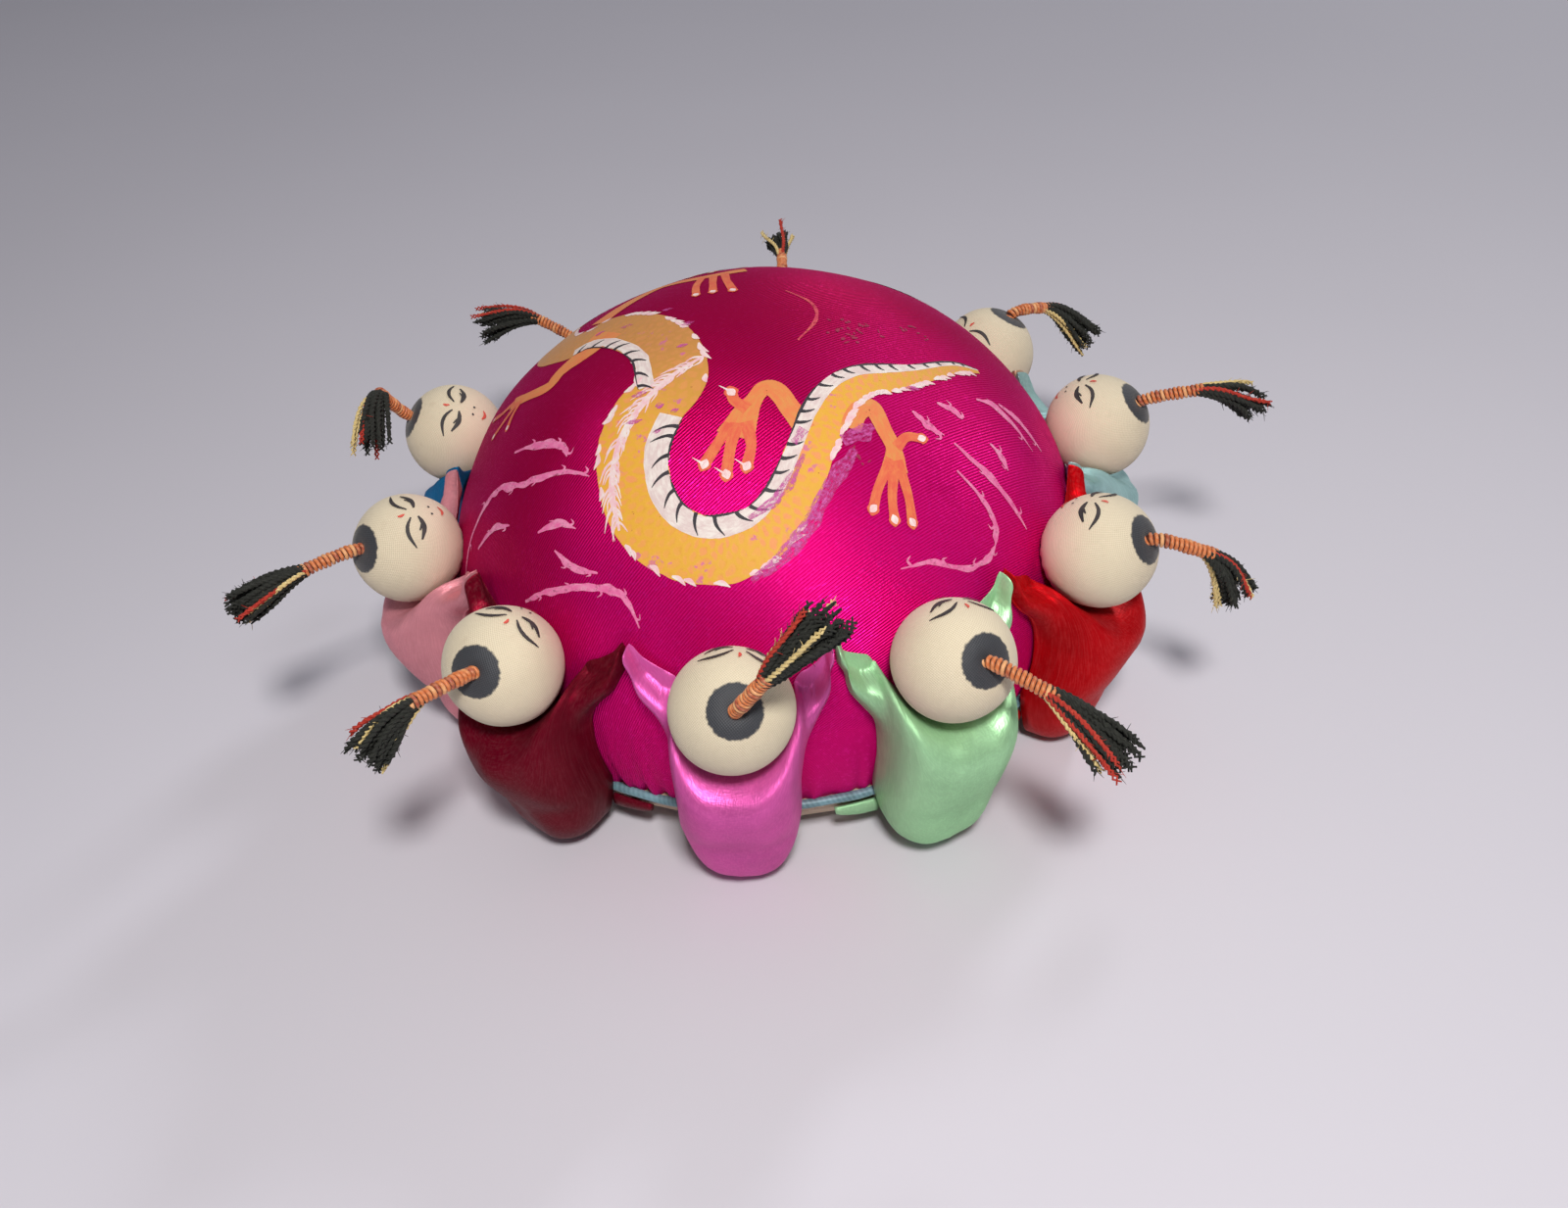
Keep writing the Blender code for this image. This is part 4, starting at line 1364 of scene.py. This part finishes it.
# Each light: its name, place in metres, size in metres, power in watts and tint.
LIGHTS = (("window", (0.92, 1.12, 0.98), 0.24, 6.6, (0.93, 0.95, 1.0)),
          ("near", (0.03, -0.26, 0.36), 0.06, 1.50, (1.0, 0.97, 0.94)),
          ("overhead", (-0.05, 0.10, 0.70), 0.60, 0.25, (1.0, 0.98, 0.97)))
ROOM_TINT = (0.93, 0.93, 1.0, 1.0)
ROOM_LIGHT = 0.17


class PINCUSHION_OT_stage(bpy.types.Operator):
    """Pale table, soft lights and the camera"""
    bl_idname = "pincushion.stage"
    bl_label = "Stage"

    def execute(self, context):
        s = context.scene.pincushion_stage
        far = 1600.0
        grid = [[(x, y, -0.02) for x in (-far, far)] for y in (-far, far)]
        floor = Shape().patch(grid, np.zeros((2, 2, 2))).piece("floor", floor_paper(s))
        lens = bpy.data.cameras.new("camera")
        lens.lens = s.focal
        lens.sensor_width = 36.0
        lens.clip_start = 0.005
        lens.clip_end = 20.0
        camera = bpy.data.objects.new("camera", lens)
        context.scene.collection.objects.link(camera)
        up_level = Vector((0, math.sin(s.pitch), math.cos(s.pitch)))
        right = Vector((1, 0, 0)) * math.cos(s.roll) + up_level * math.sin(s.roll)
        up = up_level * math.cos(s.roll) - Vector((1, 0, 0)) * math.sin(s.roll)
        camera.matrix_world = Matrix((right, up, right.cross(up))).transposed().to_4x4()
        camera.location = (1.9 * MM, -s.distance, s.height)
        context.scene.camera = camera
        context.scene.view_settings.view_transform = "Standard"
        world = bpy.data.worlds.new("soft_room")
        world.use_nodes = True
        world.node_tree.nodes["Background"].inputs[0].default_value = ROOM_TINT
        world.node_tree.nodes["Background"].inputs[1].default_value = ROOM_LIGHT
        context.scene.world = world
        for light in LIGHTS:
            self.light(context, *light)
        return {"FINISHED"}

    def light(self, context, name, place, size, power, tint):
        lamp = bpy.data.lights.new(name, "AREA")
        lamp.energy = power
        lamp.size = size
        lamp.color = tint
        made = bpy.data.objects.new(name, lamp)
        made.location = place
        aim = Vector((0, 0, 0.02)) - Vector(place)
        made.rotation_euler = aim.to_track_quat("-Z", "Y").to_euler()
        context.scene.collection.objects.link(made)


class PINCUSHION_OT_dome(bpy.types.Operator):
    """Satin dome, seam cord and underside"""
    bl_idname = "pincushion.dome"
    bl_label = "Dome"

    def execute(self, context):
        settings = context.scene.pincushion_dome
        build_dome(settings)
        build_cord(settings)
        for node, material in (("base_cover", lining_cloth()), ("base_board", board_card())):
            slots = frame["nodes"][node].data.materials
            slots.clear()
            slots.append(material)
        return {"FINISHED"}


class PINCUSHION_OT_paint(bpy.types.Operator):
    """Painted dragon and clouds"""
    bl_idname = "pincushion.paint"
    bl_label = "Painting"

    def execute(self, context):
        settings = context.scene.pincushion_paint
        build_dragon_body(settings)
        build_dragon_mane(settings)
        build_dragon_legs(settings)
        build_dragon_head(settings)
        build_clouds(settings)
        return {"FINISHED"}


class PINCUSHION_OT_robes(bpy.types.Operator):
    """The ten satin robes"""
    bl_idname = "pincushion.robes"
    bl_label = "Robes"

    def execute(self, context):
        for child in ALL.values():
            build_robe(child, context.scene.pincushion_children)
        return {"FINISHED"}


class PINCUSHION_OT_heads(bpy.types.Operator):
    """The ten muslin heads with their painted faces"""
    bl_idname = "pincushion.heads"
    bl_label = "Heads"

    def execute(self, context):
        settings = context.scene.pincushion_children
        cloth = muslin(settings)
        ink = brush_paint("face_ink", (0.012, 0.012, 0.014), (0.05, 0.04, 0.04), 0.72, 0.06)
        red = brush_paint("face_red", (0.62, 0.03, 0.025), (0.70, 0.12, 0.08), 0.70, 0.06)
        for child in ALL.values():
            build_head(child, settings, cloth)
            build_face(child, settings, ink, red)
        return {"FINISHED"}


class PINCUSHION_OT_queues(bpy.types.Operator):
    """The ten queues: wrapped thread and tassels"""
    bl_idname = "pincushion.queues"
    bl_label = "Queues"

    def execute(self, context):
        settings = context.scene.pincushion_children
        thread = wrap_thread()
        # The core's near-black red-brown is painted shade for the gaps between the turns.
        core = yarn("queue_core_gap_shade", (0.05, 0.008, 0.005), (0.14, 0.025, 0.012))
        finishes = {"black": yarn("yarn_black", (0.010, 0.011, 0.009), (0.055, 0.060, 0.045)),
                    "cream": yarn("yarn_cream", (0.70, 0.52, 0.20), (0.88, 0.76, 0.45)),
                    "red": yarn("yarn_red", (0.42, 0.02, 0.012), (0.66, 0.10, 0.05))}
        for child in ALL.values():
            build_wrap(child, settings, thread, core)
            build_tassel(child, settings, finishes)
        return {"FINISHED"}


class PINCUSHION_PT_panel(bpy.types.Panel):
    """Lists the steps that build the pincushion"""
    bl_idname = "PINCUSHION_PT_panel"
    bl_label = "Pincushion"
    bl_space_type = "VIEW_3D"
    bl_region_type = "UI"
    bl_category = "Pincushion"

    def draw(self, context):
        for step in STEPS:
            self.layout.operator(step.bl_idname)


STEPS = (PINCUSHION_OT_stage, PINCUSHION_OT_dome, PINCUSHION_OT_paint, PINCUSHION_OT_robes,
         PINCUSHION_OT_heads, PINCUSHION_OT_queues)
SETTINGS = {"pincushion_dome": DomeSettings, "pincushion_paint": PaintSettings,
            "pincushion_children": ChildSettings, "pincushion_stage": StageSettings}


def register():
    for group in (*SETTINGS.values(), *STEPS, PINCUSHION_PT_panel):
        bpy.utils.register_class(group)
    for name, group in SETTINGS.items():
        setattr(bpy.types.Scene, name, PointerProperty(type=group))


def unregister():
    for name in SETTINGS:
        delattr(bpy.types.Scene, name)
    for group in (PINCUSHION_PT_panel, *reversed(STEPS), *reversed(list(SETTINGS.values()))):
        bpy.utils.unregister_class(group)


def main():
    """Registers the add-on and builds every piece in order."""
    register()
    for step in STEPS:
        group, name = step.bl_idname.split(".")
        getattr(getattr(bpy.ops, group), name)()


if __name__ == "__main__":
    main()
